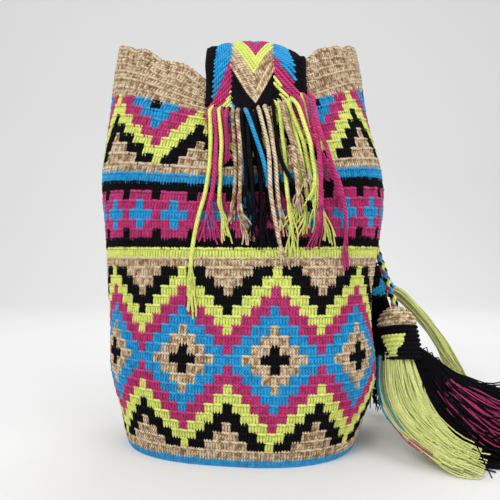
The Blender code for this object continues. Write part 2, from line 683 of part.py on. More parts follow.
def build_skirt(skirt, parts):
    """Closed outer shape of a bundle of yarns, lofted along its middle line from the cap's underside."""
    down = Vector(skirt.way).normalized()
    beside = Vector(skirt.beside)
    root = Vector(skirt.crown) + down * (CAP_LENGTH + GAP) + beside - down * beside.dot(down)
    line = [root] + [Vector(p) for p in skirt.line]
    across = Vector(skirt.across).normalized()
    rings = []
    for i, place in enumerate(line):
        ahead = (line[min(i + 1, len(line) - 1)] - line[i - 1]).normalized() if i else down
        side = (across - ahead * across.dot(ahead)).normalized()
        deep = ahead.cross(side)
        width, depth = skirt.sizes[i]
        turns = [2.0 * math.pi * k / SKIRT_SIDES for k in range(SKIRT_SIDES)]
        rings.append([place + side * width * math.cos(t) + deep * depth * math.sin(t) for t in turns])
    return add_object(skirt.name, loft(skirt.name, rings), parts, skirt.yarn)


def main():
    """Build every piece of the bag."""
    clear_scene()
    parts = new_collection("wayuu_mochila_bag")
    cutters = new_collection("cutters")
    cutter = build_drawstring(parts, cutters)
    build_body(parts, cutter)
    build_strap(parts)
    build_fringe(FRONT_FRINGE, "front", 0.0, parts)
    build_fringe(BACK_FRINGE, "back", STRAP_BACK_COLUMN, parts)
    build_cap(1, CROWN_1, CAP_WAY_1, parts)
    build_cap(2, CROWN_2, CAP_WAY_2, parts)
    for skirt in SKIRTS:
        build_skirt(skirt, parts)


main()
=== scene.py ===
"""Wayuu mochila bag: the crocheted bag, its woven strap with fringes, its drawstring and two tassels.

Metres, +Z up, front towards -Y. Places on the crocheted wall are a stitch column, counted from the
front middle towards +X, and a row, counted up from the base edge.
"""
from __future__ import annotations

import json
import logging
import math
from dataclasses import dataclass, replace
from enum import Enum
from functools import lru_cache

import bmesh
import bpy
import numpy as np
from bpy.types import Mesh, Node, NodeSocket, NodeTree, Object
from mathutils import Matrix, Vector

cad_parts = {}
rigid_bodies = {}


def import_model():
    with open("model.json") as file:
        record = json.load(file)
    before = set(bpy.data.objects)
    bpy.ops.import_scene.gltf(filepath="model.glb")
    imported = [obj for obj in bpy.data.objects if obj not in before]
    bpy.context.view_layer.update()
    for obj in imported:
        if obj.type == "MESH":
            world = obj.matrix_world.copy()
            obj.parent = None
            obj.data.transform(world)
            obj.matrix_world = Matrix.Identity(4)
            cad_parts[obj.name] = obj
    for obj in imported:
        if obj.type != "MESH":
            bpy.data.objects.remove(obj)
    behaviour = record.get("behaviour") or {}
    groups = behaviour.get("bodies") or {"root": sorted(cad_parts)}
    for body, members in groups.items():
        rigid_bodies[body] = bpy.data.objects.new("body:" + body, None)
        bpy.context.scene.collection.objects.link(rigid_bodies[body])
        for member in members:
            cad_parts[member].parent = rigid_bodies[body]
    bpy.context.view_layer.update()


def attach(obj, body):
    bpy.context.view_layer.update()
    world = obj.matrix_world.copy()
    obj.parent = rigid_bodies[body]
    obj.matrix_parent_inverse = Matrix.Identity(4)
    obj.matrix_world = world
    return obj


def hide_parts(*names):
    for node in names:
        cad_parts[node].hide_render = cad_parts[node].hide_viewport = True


log = logging.getLogger("mochila")
Array = np.ndarray
Rng = np.random.Generator
Point = tuple[float, float, float]
Pairs = tuple[tuple[float, float], ...]
BODY = "root"


class Yarn(Enum):
    """The five yarns of the bag."""

    TAN = "tan"
    LIME = "lime"
    MAGENTA = "magenta"
    BLUE = "blue"
    BLACK = "black"

    @property
    def slot(self) -> str:
        """Name of the yarn's material slot."""
        return self.value + "_yarn"


TAN, LIME, MAGENTA, BLUE, BLACK = Yarn


# Helpers on arrays


def ease(t: Array) -> Array:
    """Ease from 0 to 1 with flat ends."""
    t = np.clip(t, 0.0, 1.0)
    return t * t * (3.0 - 2.0 * t)


def unit(vectors: Array) -> Array:
    """Vectors of length one along the last axis."""
    return vectors / np.maximum(np.linalg.norm(vectors, axis=-1, keepdims=True), 1e-12)


def through(at: Array, stations: Array, values: Array) -> Array:
    """Values of the cubic curve through given ones.

    Args:
        at: Stations to read, of any count.
        stations: Rising stations of the given values.
        values: Given values, with one row a station.

    Returns:
        One value, or one row of values, for each station read.
    """
    values = np.asarray(values, float)
    slopes = np.gradient(values, stations, axis=0)
    at = np.atleast_1d(np.asarray(at, float))
    i = np.clip(np.searchsorted(stations, at) - 1, 0, len(stations) - 2)
    span = stations[i + 1] - stations[i]
    t = (at - stations[i]) / span
    if values.ndim > 1:
        span, t = span[:, None], t[:, None]
    start = values[i] * (1 + 2 * t) * (1 - t) ** 2 + slopes[i] * span * t * (1 - t) ** 2
    end = values[i + 1] * t * t * (3 - 2 * t) + slopes[i + 1] * span * t * t * (t - 1)
    return start + end


def run_length(points: Array) -> Array:
    """Running length at each point of a line."""
    steps = np.linalg.norm(np.diff(points, axis=0), axis=1)
    return np.concatenate([[0.0], np.cumsum(steps)])


def smooth_line(points: Array, step: float) -> Array:
    """Points at about equal steps on the smooth curve through given ones."""
    points = np.asarray(points, float)
    stations = run_length(points)
    count = max(2, int(math.ceil(stations[-1] / step)) + 1)
    return through(np.linspace(0.0, stations[-1], count), stations, points)


def carried_frames(points: Array) -> tuple[Array, Array]:
    """Two directions across a line at each point, carried along it without turning about it."""
    ahead = unit(np.gradient(points, axis=0))
    side = np.cross(ahead[0], (0.0, 0.0, 1.0) if abs(ahead[0][2]) < 0.9 else (1.0, 0.0, 0.0))
    sides = np.empty_like(points)
    for i, way in enumerate(ahead):
        side = side - way * side.dot(way)
        side = side / np.linalg.norm(side)
        sides[i] = side
    return sides, np.cross(ahead, sides)


# The crocheted wall


@dataclass(frozen=True)
class Level:
    """One level of the wall: its row, its half sizes and the place of its middle."""

    row: float
    half_width: float
    half_depth: float
    shift_x: float
    shift_y: float


@dataclass(frozen=True)
class Wall:
    """The crocheted wall's surface."""

    rows: int = 45
    row_height: float = 0.0060
    stitches: int = 100
    thickness: float = 0.0032
    rib: float = 0.0006
    squareness: float = 2.6
    turn: float = math.radians(-9.5)
    levels: tuple[Level, ...] = (
        Level(0, 0.0835, 0.0755, 0.0, 0.0),
        Level(8, 0.0950, 0.0810, 0.001, -0.9 * 0.0052),
        Level(15, 0.0950, 0.0810, -0.001, -0.0052),
        Level(31, 0.1015, 0.0812, -0.0005, -1.1 * 0.0052),
        Level(38, 0.09475, 0.0725, -0.0045, -0.0052),
        Level(45, 0.0880, 0.0700, -0.004, -0.0052),
    )
    wave_start: int = 19
    wave_mean: float = 0.0057
    wave_height: float = 0.0169
    wave_tilt: float = 0.0030
    lean_start: int = 37
    lean_in: float = 0.0140
    lean_drop: float = 0.0127
    lean_spread: float = math.radians(41.0)
    fold_drop: float = 0.0105
    fold_bearing: float = math.radians(90.0)
    fold_spread: float = math.radians(36.0)
    ripple: float = 0.0
    ruffle: float = 0.0
    crease: float = 0.0
    crease_row: float = 39.8
    crease_column: float = 12.6
    bumps: tuple[tuple[float, float], ...] = ()
    bump_spread: float = 1.25

    @lru_cache(maxsize=None)
    def outline(self, row: float) -> tuple[Array, Array, Array]:
        """Points, outward normals and running length of the outline at a row, front middle first."""
        stations = np.array([level.row for level in self.levels], float)
        sizes = np.array([[v.half_width, v.half_depth, v.shift_x, v.shift_y] for v in self.levels])
        width, depth, shift_x, shift_y = through(row, stations, sizes)[0]
        turn = np.linspace(0.0, 2.0 * math.pi, 361)
        power = 2.0 / self.squareness
        x = width * np.sign(np.sin(turn)) * np.abs(np.sin(turn)) ** power
        y = -depth * np.sign(np.cos(turn)) * np.abs(np.cos(turn)) ** power
        length = np.concatenate([[0.0], np.cumsum(np.hypot(np.diff(x), np.diff(y)))])
        cos, sin = math.cos(self.turn), math.sin(self.turn)
        points = np.stack([x * cos - y * sin + shift_x, x * sin + y * cos + shift_y])
        ahead = np.roll(points[:, :-1], -2, axis=1) - np.roll(points[:, :-1], 2, axis=1)
        ahead = np.concatenate([ahead, ahead[:, :1]], axis=1)
        return points, np.stack([ahead[1], -ahead[0]]) / np.hypot(*ahead), length

    def stitch_width(self, row: float) -> float:
        """Width of one stitch at a row."""
        return float(self.outline(float(row))[2][-1]) / self.stitches

    def points(self, columns: Array, rows: Array, out: Array | float = 0.0) -> Array:
        """Points on the wall's crests, or outside them.

        Args:
            columns: Stitch columns.
            rows: Rows, as many as the columns.
            out: Distances outside the crests.

        Returns:
            One point for each column.
        """
        columns, rows, out = np.broadcast_arrays(*(np.asarray(v, float) for v in (columns, rows, out)))
        place = np.zeros((len(columns), 3))
        normal = np.zeros((len(columns), 2))
        for row in np.unique(rows):
            pick = rows == row
            outline, normals, length = self.outline(float(row))
            at = (columns[pick] / self.stitches % 1.0) * length[-1]
            for axis in (0, 1):
                place[pick, axis] = np.interp(at, length, outline[axis])
                normal[pick, axis] = np.interp(at, length, normals[axis])
        bearing = np.arctan2(place[:, 0], -place[:, 1])
        wave = self.wave_mean - self.wave_height * np.cos(2 * bearing) + self.wave_tilt * np.sin(bearing)
        share = np.clip((rows - self.wave_start) / 21.0, 0.0, 1.0) ** 1.6
        mouth = ease((rows - self.lean_start) / (self.rows - self.lean_start))
        lean = np.exp(-((bearing / self.lean_spread) ** 2)) * mouth
        fold = np.exp(-(((bearing - self.fold_bearing) / self.fold_spread) ** 2)) * mouth
        turn = 2.0 * math.pi * columns / self.stitches
        swell = np.sin(3 * turn + 0.37 * rows) + 0.7 * np.sin(7 * turn - 0.55 * rows + 1.3)
        swell = self.ripple * swell * ease(rows / 4.0)
        fold_line = ((rows - self.crease_row - 0.10 * (columns - self.crease_column)) / 0.8) ** 2
        swell -= self.crease * np.exp(-fold_line - ((columns - self.crease_column) / 2.8) ** 2)
        place[:, :2] += unit(normal) * (out + swell)[:, None]
        place[:, 1] += self.lean_in * lean
        place[:, 2] = rows * self.row_height + wave * share - self.lean_drop * lean - self.fold_drop * fold
        rise = self.ruffle * (np.sin(27 * turn + 0.8) + 0.8 * np.sin(16 * turn + 2.1))
        for column, height in self.bumps:
            rise += height * np.exp(-((((columns - column + 50.0) % 100.0 - 50.0) / self.bump_spread) ** 2))
        place[:, 2] += rise * ease((rows - 40.5) / 4.5)
        return place

    def frames(self, columns: Array, rows: Array, out: float = 0.0) -> tuple[Array, ...]:
        """Places on the wall with their directions along the row, up the wall and outward."""
        columns, rows = np.broadcast_arrays(np.asarray(columns, float), np.asarray(rows, float))
        along = self.points(columns + 0.25, rows, out) - self.points(columns - 0.25, rows, out)
        upper = np.minimum(rows + 0.5, self.rows)
        up = self.points(columns, upper, out) - self.points(columns, upper - 1.0, out)
        return self.points(columns, rows, out), along * 2.0, up, unit(np.cross(along, up))

    def cover(self, columns: Array, rows: Array, distance: Array | float) -> Array:
        """Points at a true distance outside the wall, square to its lean."""
        place, _, _, outward = self.frames(columns, rows)
        return place + outward * np.reshape(distance, (-1, 1))


WALL = Wall()
WORN_WALL = replace(WALL, ripple=0.0006, ruffle=0.0004, crease=0.0024, bumps=(
    (-14.6, -0.0018), (-12.4, -0.0024), (-7.7, -0.0028), (-4.7, 0.0024), (-1.7, -0.0016), (13.2, 0.0040),
    (15.6, 0.0012), (18.0, -0.0018), (24.0, 0.0022), (30.0, -0.0020), (38.0, 0.0020), (60.0, 0.0022),
    (66.0, -0.0020), (74.0, 0.0020),
))


class Pattern:
    """The crocheted bands: which yarn makes each stitch."""

    drift_rows = (0, 11, 21, 26, 31, 38, 45)
    drift = (-0.20, 0.22, 0.68, 0.62, 0.45, 0.30, 0.30)
    pull = 2.1
    pull_column = -13.0
    pull_spread = 4.2
    pull_row = 29.0
    jump_from = 6
    jump_to = 52
    plain = {0: BLUE, 1: TAN, 21: TAN, 22: LIME, 23: BLACK, 29: BLACK, 30: BLUE,
             31: TAN}
    diamond_steps = ((-2, TAN), (0, BLACK), (2, LIME), (4, MAGENTA), (6, BLUE), (8, TAN))
    zigzag_steps = ((1, BLACK), (3, BLUE), (5, MAGENTA), (7, LIME), (9, BLACK))

    @classmethod
    def middle(cls, cell: Array, row: Array) -> Array:
        """Column at the middle of a cell, which drifts with the rows and is pulled wide at the upper left."""
        beside = (np.asarray(cell) - cls.pull_column + 50.0) % 100.0 - 50.0
        near = np.exp(-((beside / np.where(beside > 0, cls.pull_spread, 3.0 * cls.pull_spread)) ** 2))
        drift = np.interp(row, cls.drift_rows, cls.drift)
        return cell + 0.5 + drift - cls.pull * near * ease((row - cls.pull_row) / 8.0)

    @classmethod
    def jumped(cls, cell: int) -> int:
        """2 where the pattern has jumped by two stitches, which the strap's fringe hides, or else 0."""
        return 2 if cls.jump_from <= cell < cls.jump_to else 0

    @classmethod
    def diamonds(cls, cell: int, row: int) -> Yarn:
        """Yarn in the wide diamond band, whose repeat is ten stitches."""
        k = 21 - row
        k = k if k <= 10 else 20 - k
        e = k - abs(cell % 10 - 5)
        return next((yarn for limit, yarn in cls.diamond_steps if e <= limit), BLACK)

    @classmethod
    def crosses(cls, cell: int, row: int) -> Yarn:
        """Yarn in the band of small crosses, whose repeat is four stitches."""
        m = (cell + 6 + cls.jumped(cell)) % 4
        arm = abs(row - 26)
        if arm == 2:
            return BLACK if m == 2 else MAGENTA
        blue = m != 2 if arm == 0 else m == 0
        return BLUE if blue else MAGENTA

    @classmethod
    def zigzag(cls, cell: int, row: int) -> Yarn:
        """Yarn in the narrow zigzag band, whose repeat is ten stitches."""
        e = 39 - row + abs((cell + 13 + cls.jumped(cell) // 2) % 10 - 5)
        return next((yarn for limit, yarn in cls.zigzag_steps if e <= limit), TAN)

    @classmethod
    def yarn(cls, cell: int, row: int) -> Yarn:
        """Yarn of one stitch of the wall."""
        if row in cls.plain:
            return cls.plain[row]
        if row <= 20:
            return cls.diamonds(cell, row)
        if row <= 28:
            return cls.crosses(cell, row)
        return cls.zigzag(cell, row) if row <= 38 else TAN


# Nodes and meshes


def feed(tree: NodeTree, socket: NodeSocket, value: object) -> None:
    """Give an input a fixed value, or a link from the output that feeds it."""
    if isinstance(value, NodeSocket):
        tree.links.new(value, socket)
    else:
        socket.default_value = value


def add_node(tree: NodeTree, kind: str, inputs: dict | None = None, **settings: object) -> Node:
    """Add a node with its settings and inputs.

    Args:
        tree: Tree that gets the node.
        kind: Type of the node.
        inputs: Value or output socket for each input, by name or number.
        settings: Properties of the node, set before its inputs are.

    Returns:
        The node.
    """
    node = tree.nodes.new(kind)
    for label, value in settings.items():
        setattr(node, label, value)
    for key, value in (inputs or {}).items():
        feed(tree, node.inputs[key], value)
    return node


def maths(tree: NodeTree, kind: str, *values: object) -> NodeSocket:
    """Output of a Math node fed by sockets or numbers."""
    return add_node(tree, "ShaderNodeMath", dict(enumerate(values)), operation=kind).outputs[0]


def colour_mix(tree: NodeTree, kind: str, share: object, a: object, b: object) -> NodeSocket:
    """Output of a colour Mix node, whose colour sockets follow those of its other types."""
    mix = add_node(tree, "ShaderNodeMix", {0: share, 6: a, 7: b}, data_type="RGBA", blend_type=kind)
    return mix.outputs[2]


def named(tree: NodeTree, attribute: str, kind: str) -> NodeSocket:
    """Output that reads an attribute of the geometry."""
    return add_node(tree, "GeometryNodeInputNamedAttribute", {"Name": attribute}, data_type=kind).outputs[0]


def storing(tree: NodeTree, attribute: str, kind: str, domain: str, value: NodeSocket) -> Node:
    """Node that stores an attribute on the geometry."""
    return add_node(tree, "GeometryNodeStoreNamedAttribute", {"Name": attribute, "Value": value},
                    data_type=kind, domain=domain)


def link_through(tree: NodeTree, start: NodeSocket, *nodes: Node) -> NodeSocket:
    """Lead geometry through nodes in order, each by its first sockets."""
    for node in nodes:
        tree.links.new(start, node.inputs[0])
        start = node.outputs[0]
    return start


def new_tree(name: str, kind: str, inputs: dict[str, str], outputs: dict[str, str]) -> NodeTree:
    """Node tree that has its inputs and outputs but no nodes yet.

    Args:
        name: Name of the tree.
        kind: Type of the tree.
        inputs: Type of each input, by its name.
        outputs: Type of each output, by its name.

    Returns:
        The tree.
    """
    tree = bpy.data.node_groups.new(name, kind)
    for way, sockets in (("INPUT", inputs), ("OUTPUT", outputs)):
        for label, socket in sockets.items():
            tree.interface.new_socket(label, in_out=way, socket_type="NodeSocket" + socket)
    return tree


def in_scene(name: str, data: bpy.types.ID) -> Object:
    """Object of the given data, linked to the scene."""
    obj = bpy.data.objects.new(name, data)
    bpy.context.scene.collection.objects.link(obj)
    return obj


def set_attributes(mesh: Mesh, values: dict[str, Array]) -> None:
    """Store a number or a vector for each vertex, by the attribute's name."""
    for label, data in values.items():
        kind, key = ("FLOAT_VECTOR", "vector") if np.ndim(data) == 2 else ("FLOAT", "value")
        layer = mesh.attributes.new(label, kind, "POINT")
        layer.data.foreach_set(key, np.asarray(data, np.float32).ravel())


def scratch_object(name: str, points: Array, edges: list, values: dict[str, Array]) -> Object:
    """Object of points or poly lines that carries attributes for a tree."""
    mesh = bpy.data.meshes.new(name)
    mesh.from_pydata([tuple(p) for p in points], edges, [])
    set_attributes(mesh, values)
    return in_scene(name, mesh)


def finished(name: str, bm: bmesh.types.BMesh) -> Mesh:
    """Smooth mesh of a closed form, with its faces turned outward."""
    bmesh.ops.recalc_face_normals(bm, faces=bm.faces)
    mesh = bpy.data.meshes.new(name)
    bm.to_mesh(mesh)
    bm.free()
    mesh.shade_smooth()
    return mesh


def closed_mesh(name: str, verts: list, faces: list) -> Mesh:
    """Smooth mesh of closed forms given by their vertices and faces."""
    rough = bpy.data.meshes.new(name + "_rough")
    rough.from_pydata(verts, [], faces)
    bm = bmesh.new()
    bm.from_mesh(rough)
    bpy.data.meshes.remove(rough)
    return finished(name, bm)


def plain_mesh(name: str, source: Object, tree: NodeTree, values: dict[str, object]) -> Mesh:
    """Run a tree on an object and keep the result as a plain mesh.

    Args:
        name: Name of the mesh.
        source: Object that carries the points or lines, which is removed afterwards.
        tree: Tree to run.
        values: Values of the tree's named inputs.

    Returns:
        The mesh.
    """
    modifier = source.modifiers.new("Build", "NODES")
    modifier.node_group = tree
    for item in tree.interface.items_tree:
        if item.in_out == "INPUT" and item.name in values:
            modifier[item.identifier] = values[item.name]
    bpy.context.view_layer.update()
    mesh = bpy.data.meshes.new_from_object(source.evaluated_get(bpy.context.evaluated_depsgraph_get()))
    mesh.name = name
    bpy.data.objects.remove(source, do_unlink=True)
    mesh.shade_smooth()
    return mesh


def joined(name: str, meshes: list[Mesh]) -> Mesh:
    """One mesh of several, with their materials and attributes kept."""
    objects = [in_scene(name, mesh) for mesh in meshes]
    if len(objects) > 1:
        with bpy.context.temp_override(active_object=objects[0], selected_editable_objects=objects):
            bpy.ops.object.join()
    whole = objects[0].data
    bpy.data.objects.remove(objects[0], do_unlink=True)
    whole.name = name
    return whole


def add_piece(name: str, mesh: Mesh, replaces: tuple[str, ...] = ()) -> Object:
    """Finished piece of the bag, which rides on its body.

    Args:
        name: Name of the piece.
        mesh: Its mesh, in place.
        replaces: Solids of the model that it stands for.

    Returns:
        The object.
    """
    piece = in_scene(name, mesh)
    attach(piece, BODY)
    if replaces:
        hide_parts(*replaces)
    log.info("%s: %d faces", name, len(mesh.polygons))
    return piece


# Finishes


@dataclass(frozen=True)
class YarnFinish:
    """Look of one yarn: its light and dark shades in linear colour, and how strongly they mix. Its groove
    value is how strongly the dark shade is painted into the grooves between the plies, as painted shade.
    """

    yarn: Yarn
    light: Point
    dark: Point
    mottle: float
    # Share of painted shade in the grooves between the plies.
    groove_shade: float
    roughness: float
    sheen: float
    gloss: float = 0.22
    kind: str = "spun"
    sheen_roughness: float = 0.45
    bump_strength: float = 0.65
    bump_distance: float = 0.0005

    def material(self) -> bpy.types.Material:
        """Principled material of the yarn, built once and shared by its pieces.

        Returns:
            The material.
        """
        name = f"{self.kind}_{self.yarn.value}"
        if name in bpy.data.materials:
            return bpy.data.materials[name]
        mat = bpy.data.materials.new(name)
        mat.use_nodes = True
        mat.diffuse_color = (*self.light, 1.0)
        tree = mat.node_tree
        inputs = {
            "Position": add_node(tree, "ShaderNodeTexCoord").outputs["Object"],
            "Light": (*self.light, 1.0), "Dark": (*self.dark, 1.0),
            "Mottle": self.mottle, "Groove shade": self.groove_shade, "Roughness": self.roughness,
        }
        for attribute, output in (("around", "Vector"), ("phase", "Fac"), ("tone", "Fac"), ("strand", "Fac")):
            read = add_node(tree, "ShaderNodeAttribute", attribute_name=attribute)
            inputs[attribute.capitalize()] = read.outputs[output]
        spun = add_node(tree, "ShaderNodeGroup", inputs, node_tree=spun_yarn_group())
        bump = add_node(tree, "ShaderNodeBump", {
            "Strength": self.bump_strength, "Distance": self.bump_distance, "Height": spun.outputs["Height"],
        })
        shader = tree.nodes["Principled BSDF"]
        for label, value in (
            ("Base Color", spun.outputs["Colour"]), ("Roughness", spun.outputs["Roughness"]),
            ("Normal", bump.outputs["Normal"]), ("Specular IOR Level", self.gloss),
            ("Sheen Weight", self.sheen), ("Sheen Roughness", self.sheen_roughness),
        ):
            feed(tree, shader.inputs[label], value)
        return mat


def spun_yarn_group() -> NodeTree:
    """Shader group for spun yarn: the plies' grooves as bumps with painted shade in them, the mottle of its
    dye with a painted highlight on the bar of each stitch, and the fuzz of its fibres.

    Returns:
        The group, built once.
    """
    name = "Spun yarn"
    if name in bpy.data.node_groups:
        return bpy.data.node_groups[name]
    tree = new_tree(name, "ShaderNodeTree", {
        "Position": "Vector", "Around": "Vector", "Phase": "Float", "Tone": "Float", "Strand": "Float",
        "Light": "Color", "Dark": "Color", "Mottle": "Float", "Groove shade": "Float", "Roughness": "Float",
    }, {"Colour": "Color", "Height": "Float", "Roughness": "Float"})
    given = add_node(tree, "NodeGroupInput").outputs

    def noise(scale: float, detail: float) -> NodeSocket:
        """Noise over the piece, from 0 to 1."""
        inputs = {"Vector": given["Position"], "Scale": scale, "Detail": detail}
        return add_node(tree, "ShaderNodeTexNoise", inputs).outputs["Fac"]

    axes = add_node(tree, "ShaderNodeSeparateXYZ", {0: given["Around"]}).outputs
    angle = maths(tree, "ARCTAN2", axes["Y"], axes["X"])
    wave = maths(tree, "COSINE", maths(tree, "MULTIPLY_ADD", angle, 3.0, given["Phase"]))
    crest = maths(tree, "MULTIPLY_ADD", wave, 0.5, 0.5)
    fibre = noise(1500.0, 2.0)
    dye = noise(330.0, 1.0)
    tone = maths(tree, "FRACT", maths(tree, "ADD", given["Tone"], given["Strand"]))
    blend = maths(tree, "MULTIPLY_ADD", dye, 3.0, maths(tree, "MULTIPLY_ADD", tone, 0.7, -1.28))
    # Painted highlight: the bar on top of a stitch, whose strand value is 1, gets less of the dark shade than
    # its legs.
    bar = maths(tree, "FLOOR", given["Strand"])
    blend = maths(tree, "MULTIPLY_ADD", bar, 0.5, blend)
    blend = maths(tree, "MINIMUM", maths(tree, "MAXIMUM", blend, 0.0), 1.0)
    lack = maths(tree, "MULTIPLY", given["Mottle"], maths(tree, "SUBTRACT", 1.0, blend))
    colour = colour_mix(tree, "MIX", lack, given["Light"], given["Dark"])
    # Painted shade: the colour is darkened towards the dark shade in the grooves between the plies, where
    # crest is low.
    low = maths(tree, "MULTIPLY", given["Groove shade"], maths(tree, "SUBTRACT", 1.0, crest))
    add_node(tree, "NodeGroupOutput", {
        "Colour": colour_mix(tree, "MULTIPLY", low, colour, given["Dark"]),
        "Height": maths(tree, "MULTIPLY_ADD", fibre, 0.45, crest),
        "Roughness": maths(tree, "MULTIPLY_ADD", fibre, 0.2, given["Roughness"]),
    })
    return tree


# The fifth value of each finish is how strongly shade is painted into the plies' grooves.
FINISHES = {finish.yarn: finish for finish in (
    YarnFinish(TAN, (0.96, 0.82, 0.58), (0.36, 0.205, 0.085), 1.0, 0.72, 0.66, 0.20),
    YarnFinish(LIME, (0.90, 0.95, 0.28), (0.58, 0.66, 0.12), 0.60, 0.60, 0.66, 0.15),
    YarnFinish(MAGENTA, (0.74, 0.045, 0.27), (0.34, 0.012, 0.100), 0.65, 0.65, 0.68, 0.15),
    YarnFinish(BLUE, (0.012, 0.49, 0.86), (0.003, 0.22, 0.52), 0.65, 0.65, 0.66, 0.15),
    YarnFinish(BLACK, (0.0050, 0.0038, 0.0062), (0.0015, 0.001, 0.002), 0.60, 0.50, 0.80, 0.0, 0.14),
)}
# Lighter copy of the lime for the tassels' loose skirts: painted light that makes up for the shade between
# their many strands.
LIGHTENED_SKEIN_LIME = YarnFinish(LIME, (0.90, 0.94, 0.40), (0.66, 0.72, 0.19), 0.60, 0.35, 0.55, 0.25, 0.30, "skein")
SKEIN_FINISHES = FINISHES | {LIME: LIGHTENED_SKEIN_LIME}


# Stitches and cords


def stitch_tree() -> NodeTree:
    """Tree that sets a stitch on each point, turned to the wall and a little uneven.

    Returns:
        The tree, built once.
    """
    name = "Stitches"
    if name in bpy.data.node_groups:
        return bpy.data.node_groups[name]
    tree = new_tree(name, "GeometryNodeTree", {
        "Geometry": "Geometry", "Stitch": "Object", "Material": "Material", "Unevenness": "Float",
        "Seed": "Int",
    }, {"Geometry": "Geometry"})
    given = add_node(tree, "NodeGroupInput").outputs
    info = add_node(tree, "GeometryNodeObjectInfo", {"Object": given["Stitch"]})
    axes = add_node(tree, "FunctionNodeAxesToRotation", {
        0: named(tree, "outward", "FLOAT_VECTOR"), 1: named(tree, "along", "FLOAT_VECTOR"),
    }, primary_axis="Z", secondary_axis="X")
    tilt = add_node(tree, "FunctionNodeRandomValue", {
        0: maths(tree, "MULTIPLY", given["Unevenness"], -1.0), 1: given["Unevenness"], "Seed": given["Seed"],
    }, data_type="FLOAT_VECTOR")
    euler = add_node(tree, "FunctionNodeEulerToRotation", {0: tilt.outputs[0]})
    turned = add_node(tree, "FunctionNodeRotateRotation", {0: axes.outputs[0], 1: euler.outputs[0]},
                      rotation_space="LOCAL")
    tone = add_node(tree, "FunctionNodeRandomValue", {"Seed": given["Seed"]}, data_type="FLOAT")
    stitches = add_node(tree, "GeometryNodeInstanceOnPoints", {
        "Points": given["Geometry"], "Instance": info.outputs["Geometry"], "Rotation": turned.outputs[0],
        "Scale": named(tree, "size", "FLOAT_VECTOR"),
    })
    toned = storing(tree, "tone", "FLOAT", "INSTANCE", tone.outputs[1])
    realized = add_node(tree, "GeometryNodeRealizeInstances")
    finish = add_node(tree, "GeometryNodeSetMaterial", {"Material": given["Material"]})
    add_node(tree, "NodeGroupOutput", {0: link_through(tree, stitches.outputs[0], toned, realized, finish)})
    return tree


def set_stitches(name: str, stitch: Object, data: dict[str, Array], finish: YarnFinish, unevenness: float,
                 seed: int) -> Mesh:
    """Mesh of stitches of one yarn.

    Args:
        name: Name of the mesh.
        stitch: Object that is copied to each place.
        data: The stitches' places, directions along their row, outward directions and sizes.
        finish: Look of the yarn.
        unevenness: Greatest tilt of a stitch.
        seed: Seed of the tilts and tones.

    Returns:
        The mesh.
    """
    values = {label: data[label] for label in ("along", "outward", "size")}
    return plain_mesh(name, scratch_object(name + "_points", data["place"], [], values), stitch_tree(), {
        "Stitch": stitch, "Material": finish.material(), "Unevenness": unevenness, "Seed": seed,
    })


def cord_tree() -> NodeTree:
    """Tree that turns poly lines into cords, lobed and twisted by their plies or shaded as if they were.

    Returns:
        The tree, built once.
    """
    name = "Cords"
    if name in bpy.data.node_groups:
        return bpy.data.node_groups[name]
    tree = new_tree(name, "GeometryNodeTree", {
        "Geometry": "Geometry", "Radius": "Float", "Step": "Float", "Sides": "Int", "Lobes": "Float",
        "Lobe depth": "Float", "Turns per metre": "Float", "Phase per metre": "Float", "Material": "Material",
    }, {"Geometry": "Geometry"})
    given = add_node(tree, "NodeGroupInput").outputs
    ring = add_node(tree, "GeometryNodeCurvePrimitiveCircle", {
        "Resolution": given["Sides"], "Radius": given["Radius"],
    })
    place = add_node(tree, "GeometryNodeInputPosition").outputs[0]
    axes = add_node(tree, "ShaderNodeSeparateXYZ", {0: place}).outputs
    angle = maths(tree, "ARCTAN2", axes[1], axes[0])
    lobe = maths(tree, "COSINE", maths(tree, "MULTIPLY", angle, given["Lobes"]))
    reach = maths(tree, "MULTIPLY_ADD", lobe, given["Lobe depth"], 1.0)
    scaled = add_node(tree, "ShaderNodeVectorMath", {0: place, "Scale": reach}, operation="SCALE")
    shaped = add_node(tree, "GeometryNodeSetPosition", {"Position": scaled.outputs[0]})
    facing = add_node(tree, "ShaderNodeVectorMath", {0: place}, operation="NORMALIZE")
    around = storing(tree, "around", "FLOAT_VECTOR", "POINT", facing.outputs[0])
    profile = link_through(tree, ring.outputs[0], around, shaped)
    even = add_node(tree, "GeometryNodeResampleCurve", {"Length": given["Step"]}, mode="LENGTH")
    gone = add_node(tree, "GeometryNodeSplineParameter").outputs["Length"]
    turn = maths(tree, "MULTIPLY", gone, given["Turns per metre"])
    tilt = add_node(tree, "GeometryNodeSetCurveTilt", {"Tilt": maths(tree, "MULTIPLY", turn, 2.0 * math.pi)})
    phased = storing(tree, "phase", "FLOAT", "POINT", maths(tree, "MULTIPLY", gone, given["Phase per metre"]))
    solid = add_node(tree, "GeometryNodeCurveToMesh", {"Profile Curve": profile, "Fill Caps": True})
    finish = add_node(tree, "GeometryNodeSetMaterial", {"Material": given["Material"]})
    end = link_through(tree, given["Geometry"], add_node(tree, "GeometryNodeMeshToCurve"), even, tilt, phased,
                       solid, add_node(tree, "GeometryNodeRealizeInstances"), finish)
    add_node(tree, "NodeGroupOutput", {0: end})
    return tree


